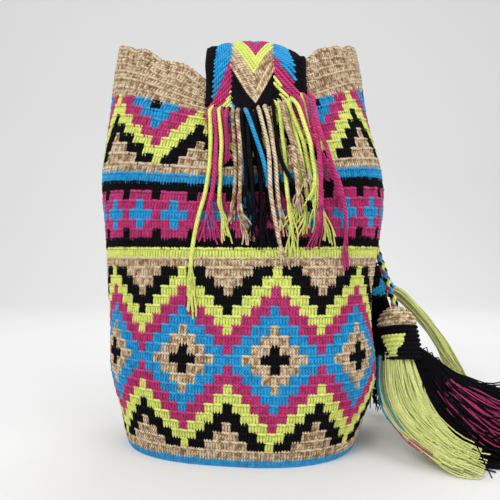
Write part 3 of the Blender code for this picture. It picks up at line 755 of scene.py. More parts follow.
@dataclass(frozen=True)
class CordMake:
    """How poly lines become cords: their size and facets, their plies and lay, and if the twist is shape."""

    diameter: float
    step: float
    sides: int
    plies: int = 3
    lobe_depth: float = 0.0
    lay: float = 0.0036
    shaped: bool = False
    skein: bool = False

    def mesh(self, name: str, lines: list[Array], yarn: Yarn, rng: Rng) -> Mesh:
        """Mesh of all the lines as cords of one yarn.

        Args:
            name: Name of the mesh.
            lines: Poly lines.
            yarn: Yarn of the cords.
            rng: Source of each cord's tone.

        Returns:
            The mesh.
        """
        points = np.concatenate(lines)
        starts = np.concatenate([[0], np.cumsum([len(line) for line in lines])])
        edges = [(i, i + 1) for a, b in zip(starts, starts[1:]) for i in range(a, b - 1)]
        tone = np.concatenate([np.full(len(line), rng.random()) for line in lines])
        return plain_mesh(name, scratch_object(name + "_lines", points, edges, {"tone": tone}), cord_tree(), {
            "Radius": self.diameter / 2, "Step": self.step, "Sides": self.sides, "Lobes": float(self.plies),
            "Lobe depth": self.lobe_depth if self.shaped else 0.0,
            "Turns per metre": 1.0 / self.lay / self.plies if self.shaped else 0.0,
            "Phase per metre": 0.0 if self.shaped else 2.0 * math.pi / self.lay,
            "Material": (SKEIN_FINISHES if self.skein else FINISHES)[yarn].material(),
        })


@dataclass(frozen=True)
class Strand:
    """One strand of a stitch, which tapers to both ends: a cell of the stitch is one wide and one high."""

    start: tuple[float, float]
    end: tuple[float, float]
    half_width: float
    half_depth: float
    start_height: float = 0.0
    end_height: float = 0.0

    @property
    def way(self) -> Array:
        """Way from its start to its end on the stitch's face."""
        return np.array(self.end) - self.start


RING = ((1.0, 0.0), (0.0, 1.0), (-1.0, 0.0), (0.0, -0.9))


def strand_forms(strands: tuple[Strand, ...], swells: Pairs) -> tuple[list, list, Array]:
    """Closed forms of strands, with four facets round each.

    Args:
        strands: Strands of a stitch.
        swells: Shares of a strand's length with the share of its thickness there, which is 0 at both ends.

    Returns:
        Their vertices, their faces, and for each vertex the number of its strand, its two places round the
        strand and its share of the strand's length.
    """
    verts: list[tuple] = []
    faces: list[tuple] = []
    places: list[tuple] = []
    count = len(RING)
    for number, strand in enumerate(strands):
        first = len(verts)
        across = np.array([strand.way[1], -strand.way[0]]) / np.linalg.norm(strand.way) * strand.half_width
        for share, swell in swells:
            middle = strand.start + strand.way * share
            height = strand.start_height + (strand.end_height - strand.start_height) * share
            for side, front in RING if swell else ((0.0, 0.0),):
                x, y = middle + across * side * swell
                verts.append((x, y, height + strand.half_depth * front * swell))
                places.append((number, side, front, share))
        last = len(verts) - 1
        for k in range(count):
            n = (k + 1) % count
            faces.append((first, first + 1 + n, first + 1 + k))
            for low in range(first + 1, last - count, count):
                faces.append((low + k, low + n, low + count + n, low + count + k))
            faces.append((last, last - count + k, last - count + n))
    return verts, faces, np.array(places)


# Crochet


@dataclass(frozen=True)
class Crochet:
    """The crocheted body: its stitches, the fabric behind them, its base and its edges."""

    unevenness: float = 0.06
    strand_turns: float = 2.6
    strand_tone: float = 0.31
    seed: int = 11
    lowest_lift: float = 0.0021
    base_rounds: int = 13
    base_stitch: float = 0.0054
    base_height: float = 0.0008
    base_flatness: float = 0.55
    backing_out: float = -0.0005
    backing_foot: float = 0.0010
    foot_inset: float = 0.0050
    floor_inset: float = 0.0045
    dimple: float = 0.0004
    inner_rib: float = 0.0006
    edge_points: int = 401
    rim_drop: float = 0.0010
    rim_rope: CordMake = CordMake(0.0040, 0.0014, 10, plies=2, lobe_depth=0.14, lay=0.0034, shaped=True)
    foot_inward: float = 0.0014
    foot_rope: CordMake = CordMake(0.0024, 0.0014, 8, plies=2, lobe_depth=0.18, lay=0.0030, shaped=True)
    swells: Pairs = ((0.0, 0.0), (0.16, 0.82), (0.5, 1.0), (0.84, 0.82), (1.0, 0.0))
    strands: tuple[Strand, ...] = (
        Strand((-0.62, 0.86), (0.62, 0.80), 0.180, 0.00080, -0.00010, 0.00000),
        Strand((-0.36, 0.78), (-0.40, -0.34), 0.175, 0.00090, -0.00050, -0.00020),
        Strand((-0.03, 0.80), (-0.06, -0.40), 0.175, 0.00094, -0.00048, -0.00012),
        Strand((0.31, 0.78), (0.29, -0.36), 0.175, 0.00090, -0.00050, -0.00018),
    )

    def stitch(self) -> Object:
        """One tapestry crochet stitch: a bar on top, whose strand value is 1, and three legs below it. The
        yarn shader paints the bar lighter than the legs, a painted highlight on the top strand.

        Returns:
            The hidden object that the tree copies.
        """
        verts, faces, places = strand_forms(self.strands, self.swells)
        number, side, front, share = places.T
        lengths = np.array([np.linalg.norm(strand.way) for strand in self.strands])[number.astype(int)]
        mesh = closed_mesh("stitch", verts, faces)
        set_attributes(mesh, {
            "strand": np.where(number == 0, 1.0, self.strand_tone * number),
            "phase": self.strand_turns * 2.0 * math.pi * share * lengths,
            "around": np.stack([side, front, np.zeros(len(side))], axis=1),
        })
        return in_scene("stitch", mesh)

    def piece(self, name: str, stitch: Object, data: dict[str, Array], yarn: Yarn) -> None:
        """Add the piece of stitches of one yarn at the given places."""
        add_piece(name, set_stitches(name, stitch, data, FINISHES[yarn], self.unevenness, self.seed))

    def wall_stitches(self, stitch: Object) -> None:
        """Add the stitches of the wall, one piece for each yarn."""
        cells: dict[Yarn, list[tuple[int, int]]] = {yarn: [] for yarn in Yarn}
        for row in range(WALL.rows):
            for cell in range(WALL.stitches):
                cells[Pattern.yarn(cell, row)].append((cell, row))
        for yarn, found in cells.items():
            cell, row = np.array(found, float).T
            place, along, up, outward = WORN_WALL.frames(Pattern.middle(cell, row), row)
            height = np.linalg.norm(up, axis=1)
            place[row == 0, 2] += self.lowest_lift
            height[row == 0] -= self.lowest_lift
            width = np.linalg.norm(along, axis=1)
            width *= Pattern.middle(cell + 0.5, row) - Pattern.middle(cell - 0.5, row)
            size = np.stack([width, height, np.ones(len(height))], axis=1)
            data = {"place": place, "along": unit(along), "outward": outward, "size": size}
            self.piece(f"stitches_{yarn.value}", stitch, data, yarn)

    def base_stitches(self, stitch: Object) -> None:
        """Add the stitches of the flat base, round by round towards its middle."""
        outline = WALL.outline(0.0)[0].T[:-1]
        found: dict[str, list[Array]] = {"place": [], "along": [], "outward": [], "size": []}
        for k in range(self.base_rounds):
            line = np.vstack([outline, outline[:1]]) * (1.0 - (k + 0.75) / (self.base_rounds + 0.5))
            stations = run_length(line)
            around = stations[-1]
            count = max(5, int(round(around / self.base_stitch)))
            at = (np.arange(count) + 0.5 * (k % 2)) / count * around
            flat = np.stack([np.interp(at, stations, axis) for axis in line.T], axis=1)
            back = at - 0.001
            before = np.stack([np.interp(back, stations, axis, period=around) for axis in line.T], axis=1)
            place = np.pad(flat, ((0, 0), (0, 1)), constant_values=self.base_height)
            found["place"].append(place)
            found["along"].append(-np.pad(unit(flat - before), ((0, 0), (0, 1))))
            found["outward"].append(np.tile((0.0, 0.0, -1.0), (count, 1)))
            found["size"].append(np.tile((around / count, WALL.row_height, self.base_flatness), (count, 1)))
        data = {label: np.concatenate(parts) for label, parts in found.items()}
        self.piece("base_stitches", stitch, data, TAN)

    def backing_rings(self) -> tuple[list[Array], list[int]]:
        """Rings of the fabric, up its outer face and down its inner one.

        Returns:
            Points of each ring, and the row that the faces after it belong to.
        """
        columns = np.arange(2 * WALL.stitches) * 0.5
        top = WALL.rows - 1
        foot = WALL.points(columns, np.zeros(len(columns)), -self.foot_inset)
        foot[:, 2] = self.backing_foot
        rings, owners = [foot], [0]
        for row in range(WALL.rows + 1):
            rings.append(WORN_WALL.points(columns, np.full(len(columns), float(row)), self.backing_out))
            owners.append(min(row, top))
        for half in range(2 * WALL.rows, 1, -1):
            dimple = self.dimple * np.cos(2.0 * math.pi * (columns + 0.5 * (half // 2 % 2)))
            out = dimple - WALL.thickness - (self.inner_rib if half % 2 else 0.0)
            rings.append(WORN_WALL.points(columns, np.full(len(columns), half / 2.0), out))
            owners.append(min(int((half - 1) / 2), top))
        floor = WALL.points(columns, np.ones(len(columns)), -WALL.thickness - self.floor_inset)
        floor[:, 2] = WALL.thickness
        return [*rings, floor], owners

    def backing(self) -> None:
        """Add the closed fabric behind the stitches, ribbed and dimpled on the inside as crochet is."""
        rings, owners = self.backing_rings()
        bm = bmesh.new()
        verts = [[bm.verts.new(p) for p in ring] for ring in rings]
        count = len(verts[0])
        yarns = list(Yarn)
        for lower, upper, row in zip(verts, verts[1:], owners):
            middles = Pattern.middle(np.arange(WALL.stitches), float(row))
            for i in range(count):
                n = (i + 1) % count
                face = bm.faces.new((lower[i], lower[n], upper[n], upper[i]))
                cell = int(np.argmin(np.abs((0.5 * i + 0.25 - middles + 50.0) % 100.0 - 50.0)))
                face.material_index = yarns.index(Pattern.yarn(cell, row))
        self.close_floor(bm, verts[0], self.backing_foot)
        self.close_floor(bm, verts[-1], WALL.thickness)
        mesh = finished("crochet_backing", bm)
        for yarn in yarns:
            mesh.materials.append(FINISHES[yarn].material())
        add_piece("crochet_backing", mesh, ("bag_body",))

    @staticmethod
    def close_floor(bm: bmesh.types.BMesh, ring: list[bmesh.types.BMVert], height: float) -> None:
        """Close a ring with rounds of faces that run to the middle."""
        places = np.array([v.co[:2] for v in ring])
        middle = np.mean(places, axis=0)
        for share in (0.85, 0.7, 0.55, 0.4, 0.25, 0.1):
            inner = [bm.verts.new((*p, height)) for p in middle + (places - middle) * share]
            for i in range(len(ring)):
                n = (i + 1) % len(ring)
                bm.faces.new((ring[i], ring[n], inner[n], inner[i]))
            ring = inner
        bm.faces.new(ring)

    def edges(self) -> None:
        """Add the twisted edge yarns: the finishing edge of the rim and the line under the lowest row."""
        rng = np.random.default_rng(self.seed)
        columns = np.linspace(0.0, WALL.stitches, self.edge_points)
        rim = WORN_WALL.points(columns, np.full(len(columns), float(WALL.rows)), -0.5 * WALL.thickness)
        rim[:, 2] -= self.rim_drop
        foot = WALL.points(columns, np.zeros(len(columns)), -self.foot_inward)
        foot[:, 2] = self.foot_inward
        for name, line, rope, yarn in (("rim_edge", rim, self.rim_rope, TAN),
                                       ("base_edge", foot, self.foot_rope, MAGENTA)):
            add_piece(name, rope.mesh(name, [line], yarn, rng))

    def build(self) -> None:
        """Add every piece of the crocheted body."""
        stitch = self.stitch()
        self.backing()
        self.wall_stitches(stitch)
        self.base_stitches(stitch)
        self.edges()
        bpy.data.objects.remove(stitch, do_unlink=True)


# Strap


@dataclass(frozen=True)
class Zone:
    """One zone across the strap, in which all the strands lie one way.

    Its limits across the strap, the slant of its strands from the strap's length, how far a colour's border
    climbs for each metre across, the side its borders are measured from, its colours with the place where
    each one ends, and the steeper border of the black along the strap's edge.
    """

    low: float
    high: float
    slant: float
    climb: float
    origin: float
    colours: tuple[tuple[float, Yarn], ...]
    edge_climb: float = 0.0
    edge_end: float = 1.0

    @property
    def period(self) -> float:
        """Length after which the colours repeat."""
        return self.colours[-1][0]

    def yarn(self, across: float, along: float) -> Yarn:
        """Yarn of the strand through a place on the strap."""
        inward = abs(across - self.origin)
        if along % self.period + self.edge_climb * inward > self.edge_end:
            return BLACK
        at = (along + self.climb * inward) % self.period
        return next(yarn for end, yarn in self.colours if at < end)


class Strap:
    """The woven shoulder strap, sewn on at the front and back, with its slack hanging behind."""

    width = 0.0660
    thickness = 0.0035
    column = 4.6
    back_column = 49.6
    end_row = 40
    curl = 0.0050
    droop = 0.0075
    droop_length = 0.1200
    arch_rise = 0.0350
    back_gap = 0.0140
    layer_gap = 0.0105
    floor_gap = 0.0090
    seat = 0.0006
    blend = 0.0260
    step = 0.0140
    facets = 6
    fine_step = 0.0020
    overlap = 0.0006
    tuck = 0.0008
    strand = CordMake(0.0023, 0.0042, 6, plies=3, lay=0.0024)
    strand_lift = 0.00085
    strand_pitch = 0.90
    samples = 25
    run_points = 6
    edge = CordMake(0.0030, 0.0030, 8, plies=3, lay=0.0034)
    edge_inset = 0.0012
    web_half = 0.0006
    web_inset = 0.0010
    middle_colours = (
        (0.003, BLACK), (0.027, TAN), (0.043, LIME), (0.057, MAGENTA), (0.072, BLUE), (0.096, BLACK),
    )
    zones = (
        Zone(-0.0315, -0.0158, math.radians(34.0), 3.1, -0.0158, (
            (0.020, LIME), (0.044, MAGENTA), (0.102, BLUE), (0.125, BLACK), (0.130, TAN),
        ), 16.0, 0.225),
        Zone(-0.0158, 0.0, math.radians(-27.0), -1.96, 0.0, middle_colours),
        Zone(0.0, 0.0124, math.radians(27.0), -1.96, 0.0, middle_colours),
        Zone(0.0124, 0.0315, math.radians(-28.0), 2.4, 0.0124, (
            (0.015, BLACK), (0.0245, LIME), (0.042, MAGENTA), (0.091, BLUE), (0.115, BLACK), (0.120, TAN),
        ), 10.8, 0.172),
    )

    def __init__(self) -> None:
        """Lay the strap's fine grid of places and normals."""
        grid = self.coarse_grid()
        middle = run_length(grid[:, self.facets // 2])
        self.length = float(middle[-1])
        self.along = np.linspace(0.0, self.length, int(self.length / self.fine_step) + 1)
        coarse = np.linspace(-self.width / 2, self.width / 2, self.facets + 1)
        self.across = np.linspace(-self.width / 2, self.width / 2, 2 * self.facets + 1)
        fine = through(self.along, middle, grid.reshape(len(grid), -1)).reshape(-1, self.facets + 1, 3)
        turned = fine.transpose(1, 0, 2).reshape(self.facets + 1, -1)
        self.grid = through(self.across, coarse, turned).reshape(len(self.across), -1, 3).transpose(1, 0, 2)
        self.normals = unit(np.cross(np.gradient(self.grid, axis=1), np.gradient(self.grid, axis=0)))

    def side_path(self) -> Array:
        """Middle of the strap in side view, as (y, z), from the front rim over the mouth and down behind."""
        lift = self.seat + self.thickness / 2
        front = WALL.cover([self.column], [WALL.rows], lift)[0]
        back = WALL.cover([self.back_column], [WALL.rows], lift)[0]
        top = front[2] + self.arch_rise
        behind = np.array([44.0, 50.0, 56.0])
        wall_back = max(WALL.points(behind, np.full(3, row))[:, 1].max() for row in (8.0, 15.0, 24.0, 31.0))
        inner = wall_back + self.back_gap
        outer = inner + self.layer_gap + self.thickness
        turn = (outer - inner) / 2
        foot = self.floor_gap + self.thickness / 2
        over = back[2] + 0.0215
        return np.array((
            (front[1] + 0.003, front[2] + 0.010), (front[1] + 0.008, front[2] + 0.021),
            (front[1] + 0.016, top - 0.003), (front[1] + 0.028, top), (front[1] + 0.048, top - 0.001),
            (0.0, over), (0.040, over - 0.002), (back[1], over), (outer - 0.010, over - 0.007),
            (outer - 0.001, over - 0.024), (outer + 0.001, 0.190), (outer + 0.001, 0.110), (outer, 0.050),
            (outer - 0.001, foot + turn), (inner + turn, foot), (inner + 0.001, foot + turn),
            (inner, 0.050), (inner, 0.110), (inner - 0.001, 0.190), (inner - 0.002, back[2] - 0.012),
            (back[1] + 0.010, back[2] + 0.006), (back[1] + 0.004, back[2] + 0.009),
        ))

    def sewn_row(self, row: float, column: float, across: Array) -> Array:
        """Points across one sewn end, laid on the wall."""
        sign = 1 if column < WALL.stitches / 4 else -1
        columns = column + sign * across / WALL.stitch_width(row)
        return WALL.cover(columns, np.full(len(across), float(row)), self.seat + self.thickness / 2)

    def coarse_grid(self) -> Array:
        """Rows of points across the strap, from its front end to its back end."""
        across = np.linspace(-self.width / 2, self.width / 2, self.facets + 1)
        sewn = range(self.end_row, WALL.rows + 1)
        front = [self.sewn_row(row, self.column, across) for row in sewn]
        back = [self.sewn_row(row, self.back_column, across) for row in sewn[-2::-1]]
        mid = self.facets // 2
        path = smooth_line(self.side_path(), self.step)
        total = self.step * len(path)
        start = front[-1] - front[-1][mid]
        finish = back[0] - back[0][mid]
        rows = []
        for i, (y, z) in enumerate(path):
            gone = i * self.step
            fade_in = 1.0 - float(ease(gone / self.blend))
            rise_in = 1.0 - float(ease((gone + self.step) / (self.blend + self.step)))
            fade_out = 1.0 - float(ease((total - gone) / self.blend))
            x_middle = front[-1][mid][0] + (back[0][mid][0] - front[-1][mid][0]) * gone / total
            curl = self.curl * (2.0 * across / self.width) ** 2
            fade = 1.0 - float(ease(gone / self.droop_length))
            droop = self.droop * (2.0 * np.maximum(across, 0.0) / self.width) ** 2 * fade
            row = np.stack([x_middle + across, np.full_like(across, y), np.full_like(across, z)], axis=1)
            row[:, 1] += start[:, 1] * fade_in + finish[:, 1] * fade_out
            row[:, 2] += start[:, 2] * rise_in + finish[:, 2] * fade_out
            row[:, 2] -= (curl + droop) * (1.0 - rise_in) * (1.0 - fade_out)
            rows.append(row)
        return np.array(front + rows + back)

    def at(self, across: Array, along: Array, out: Array | float) -> Array:
        """Places on the strap, at a distance outside its middle surface."""
        last_i, last_j = len(self.along) - 1, len(self.across) - 1
        i = np.clip(np.asarray(along) / self.length * last_i, 0, last_i - 0.001)
        j = np.clip((np.asarray(across) / self.width + 0.5) * last_j, 0, last_j - 0.001)
        i0, j0 = i.astype(int), j.astype(int)
        u, v = (i - i0)[:, None], (j - j0)[:, None]

        def read(grid: Array) -> Array:
            """Value between the four corners round each place."""
            near = grid[i0, j0] * (1 - v) + grid[i0, j0 + 1] * v
            return near * (1 - u) + (grid[i0 + 1, j0] * (1 - v) + grid[i0 + 1, j0 + 1] * v) * u

        return read(self.grid) + unit(read(self.normals)) * np.reshape(out, (-1, 1))

    def zone_strands(self, zone: Zone, face: int, found: dict[Yarn, list[Array]]) -> None:
        """Add the strands of one zone on one face of the strap.

        Args:
            zone: Zone to fill.
            face: 1 for the outer face, -1 for the inner one.
            found: Lines found so far for each yarn, which grows.
        """
        low, high = zone.low - self.overlap, zone.high + self.overlap
        reach = (high - low) / math.tan(abs(zone.slant))
        pitch = self.strand.diameter * self.strand_pitch / math.sin(abs(zone.slant))
        start = 0.5 * pitch if zone.low >= 0.0 else 0.0
        share = np.linspace(0.0, 1.0, self.samples)
        tuck = self.tuck * np.linspace(-1.0, 1.0, self.run_points) ** 4
        across = low + (high - low) * share if zone.slant > 0 else high - (high - low) * share
        for k in range(int(-reach / pitch), int(self.length / pitch) + 1):
            along = start + k * pitch + reach * share
            inside = (along >= 0.0) & (along <= self.length)
            yarns = [zone.yarn(a, s) if ok else None for a, s, ok in zip(across, along, inside)]
            first = 0
            for last in range(1, len(yarns) + 1):
                if last < len(yarns) and yarns[last] is yarns[first]:
                    continue
                if yarns[first] is not None and last - first > 2:
                    pick = np.linspace(first, min(last, len(yarns) - 1), self.run_points)
                    run_across = np.interp(pick, np.arange(self.samples), across)
                    run_along = np.interp(pick, np.arange(self.samples), along)
                    out = face * (self.strand_lift - tuck)
                    found[yarns[first]].append(self.at(run_across, run_along, out))
                first = last

    def web(self) -> Object:
        """Thin closed band inside the strands, which takes the place of the strap's solid in the model."""
        inset = np.linspace(-0.5, 0.5, len(self.across)) * (self.width - 2.0 * self.web_inset)
        rows, cols = len(self.along), len(inset)
        outs = (self.web_half, -self.web_half)
        shell = [self.at(inset, np.full(cols, s), out) for out in outs for s in self.along]
        verts = [tuple(v) for v in np.concatenate(shell)]
        top = np.arange(rows * cols).reshape(rows, cols)
        low = top + rows * cols
        faces = []
        for i in range(rows - 1):
            for j in range(cols - 1):
                faces.append((top[i, j], top[i, j + 1], top[i + 1, j + 1], top[i + 1, j]))
                faces.append((low[i, j], low[i + 1, j], low[i + 1, j + 1], low[i, j + 1]))
            faces.append((top[i, 0], top[i + 1, 0], low[i + 1, 0], low[i, 0]))
            faces.append((top[i, -1], low[i, -1], low[i + 1, -1], top[i + 1, -1]))
        for j in range(cols - 1):
            faces.append((top[0, j], low[0, j], low[0, j + 1], top[0, j + 1]))
            faces.append((top[-1, j], top[-1, j + 1], low[-1, j + 1], low[-1, j]))
        mesh = closed_mesh("strap_web", verts, [tuple(int(i) for i in face) for face in faces])
        mesh.materials.append(FINISHES[BLACK].material())
        return add_piece("strap_web", mesh, ("shoulder_strap",))

    def build(self) -> tuple[Object, list[Object]]:
        """Build the strap.

        Returns:
            Its web, and the pieces of its strands and edges.
        """
        rng = np.random.default_rng(23)
        found: dict[Yarn, list[Array]] = {yarn: [] for yarn in Yarn}
        for zone in self.zones:
            for face in (1, -1):
                self.zone_strands(zone, face, found)
        pieces = []
        for yarn, lines in found.items():
            name = f"strap_{yarn.value}"
            pieces.append(add_piece(name, self.strand.mesh(name, lines, yarn, rng)))
        reach = self.width / 2 - self.edge_inset
        edges = [self.at(np.full(len(self.along), x), self.along, 0.0) for x in (-reach, reach)]
        pieces.append(add_piece("strap_edges", self.edge.mesh("strap_edges", edges, BLACK, rng)))
        return self.web(), pieces


# Fringes


@dataclass(frozen=True)
class FringeCord:
    """A twisted cord at a strap end: its solid's name, its yarn, its way down the wall and its frayed end."""

    name: str
    yarn: Yarn
    way: tuple[tuple[float, float], ...]
    frayed_rows: float = 3.0
    fan: float = 0.004


FRONT_FRINGE = (
    FringeCord("tan_4", TAN, ((7.9, 39.0), (7.9, 33.4), (8.4, 29.0)), 1.0),
    FringeCord("magenta_2", MAGENTA, ((1.2, 39.94), (1.2, 36.0), (1.0, 33.0)), 0.8),
    FringeCord("lime_2", LIME, ((0.3, 39.94), (0.6, 35.1), (0.2, 31.4), (0.0, 28.4),
               (0.8, 24.0)), 4.0, 0.003),
    FringeCord("blue_1", BLUE, ((2.6, 39.94), (2.7, 34.4), (2.6, 31.0), (2.9, 27.5)), 1.5),
    FringeCord("black_1", BLACK, ((3.2, 39.94), (3.0, 33.8), (2.7, 27.1)), 2.0),
    FringeCord("black_3", BLACK, ((4.6, 39.94), (4.2, 31.4), (4.4, 22.7)), 4.0, 0.005),
    FringeCord("black_2", BLACK, ((3.9, 39.94), (3.4, 32.6), (3.5, 26.4), (3.8, 23.7)), 3.0, 0.005),
    FringeCord("lime_3", LIME, ((7.3, 39.94), (6.9, 33.5), (6.6, 30.1), (7.4, 22.6)), 5.0, 0.004),
    FringeCord("black_4", BLACK, ((6.6, 39.94), (6.5, 36.0), (6.4, 31.8), (7.7, 28.6),
               (9.2, 26.3)), 1.5, 0.003),
    FringeCord("tan_3", TAN, ((7.4, 39.94), (7.6, 33.4), (7.5, 29.6), (7.6, 27.0)), 2.0, 0.003),
    FringeCord("lime_6", LIME, ((10.0, 39.94), (9.6, 32.1), (9.8, 28.1), (11.2, 23.5)), 4.0, 0.005),
    FringeCord("tan_1", TAN, ((2.0, 39.94), (1.8, 32.6), (1.5, 28.6), (1.1, 26.0)), 1.6, 0.003),
    FringeCord("magenta_5", MAGENTA, ((9.5, 39.94), (9.7, 34.3), (11.2, 30.1), (12.2, 26.9)), 1.0, 0.002),
    FringeCord("lime_4", LIME, ((8.1, 39.94), (8.9, 33.3), (9.0, 27.6), (9.3, 24.8)), 3.0, 0.004),
    FringeCord("lime_5", LIME, ((8.8, 39.94), (9.2, 35.2), (9.2, 30.0), (8.6, 27.4)), 2.0, 0.004),
    FringeCord("tan_2", TAN, ((2.7, 39.94), (2.6, 33.8), (2.3, 30.5), (2.2, 28.0),
               (3.1, 23.4)), 4.0, 0.005),
    FringeCord("blue_2", BLUE, ((3.4, 39.94), (4.1, 36.2), (4.6, 32.5), (4.9, 29.6)), 1.0, 0.002),
    FringeCord("magenta_3", MAGENTA, ((10.2, 39.94), (10.1, 35.1), (9.6, 30.2), (9.4, 26.7),
               (9.4, 22.8)), 4.0, 0.004),
    FringeCord("magenta_4", MAGENTA, ((10.8, 39.94), (10.3, 33.8), (11.6, 28.9), (12.4, 26.2),
               (13.4, 20.8)), 5.0, 0.003),
    FringeCord("tan_5", TAN, ((4.9, 39.94), (5.3, 34.8), (5.1, 28.3), (6.0, 23.7),
               (6.8, 20.8)), 3.0, 0.003),
    FringeCord("tan_6", TAN, ((5.6, 39.94), (5.9, 37.0), (5.8, 33.0), (5.7, 29.0),
               (6.4, 24.6)), 3.0, 0.004),
    FringeCord("magenta_1", MAGENTA, ((-0.1, 39.94), (0.0, 35.8), (-0.4, 30.5), (-1.0, 27.5),
               (-0.8, 23.3)), 4.5, 0.009),
    FringeCord("lime_1", LIME, ((-0.6, 39.94), (-0.6, 35.0), (-1.3, 29.5), (-2.2, 26.0), (-2.9, 21.0),
               (-2.8, 16.0)), 4.6, 0.0035),
)
LOOSE_FRINGE = (
    FringeCord("", BLACK, ((2.4, 39.94), (2.6, 36.0), (2.2, 31.0), (2.0, 28.2)), 0.5, 0.003),
    FringeCord("", BLACK, ((2.9, 39.94), (3.5, 35.0), (3.0, 30.0), (2.7, 26.4)), 1.5, 0.004),
    FringeCord("", BLACK, ((4.0, 39.94), (3.9, 35.0), (4.1, 30.0), (4.0, 25.2)), 2.0, 0.004),
    FringeCord("", BLACK, ((5.0, 39.94), (4.7, 35.0), (4.9, 30.0), (4.6, 25.6)), 2.0, 0.004),
    FringeCord("", BLACK, ((5.6, 39.94), (5.4, 35.0), (5.6, 31.0), (6.5, 28.4), (8.2, 25.8)), 1.5, 0.003),
    FringeCord("", BLACK, ((3.6, 39.94), (3.1, 36.0), (3.4, 31.5), (3.2, 27.0)), 2.0, 0.004),
    FringeCord("", MAGENTA, ((-0.9, 39.94), (-0.9, 37.0), (-0.4, 34.0), (-0.7, 30.2)), 0.6, 0.003),
    FringeCord("", MAGENTA, ((0.6, 39.94), (0.9, 37.5), (0.7, 35.0), (0.3, 32.6)), 0.6, 0.003),
    FringeCord("", LIME, ((7.0, 39.94), (7.7, 36.0), (8.1, 31.5), (7.7, 27.4), (7.1, 25.2)), 2.4, 0.005),
    FringeCord("", LIME, ((8.5, 39.94), (8.4, 36.0), (8.3, 31.0), (8.5, 27.0), (8.1, 24.6)), 2.4, 0.005),
    FringeCord("", MAGENTA, ((9.1, 39.94), (9.6, 36.5), (10.3, 33.0), (10.9, 29.8)), 0.8, 0.003),
)
BACK_FRINGE = (
    FringeCord("lime_1", LIME, ((-4.6, 39.94), (-4.7, 33.0), (-4.9, 27.6))),
    FringeCord("magenta_1", MAGENTA, ((-3.3, 39.94), (-3.4, 32.0), (-3.2, 26.2))),
    FringeCord("tan_1", TAN, ((-2.0, 39.94), (-2.1, 32.0), (-1.9, 24.8))),
    FringeCord("blue_1", BLUE, ((-0.7, 39.94), (-0.6, 33.0), (-0.8, 27.2))),
    FringeCord("black_1", BLACK, ((0.7, 39.94), (0.6, 32.0), (0.8, 23.6))),
    FringeCord("tan_2", TAN, ((2.0, 39.94), (2.1, 33.0), (1.9, 26.8))),
    FringeCord("magenta_2", MAGENTA, ((3.3, 39.94), (3.2, 33.0), (3.4, 25.0))),
    FringeCord("lime_2", LIME, ((4.6, 39.94), (4.7, 33.0), (4.5, 28.2))),
)


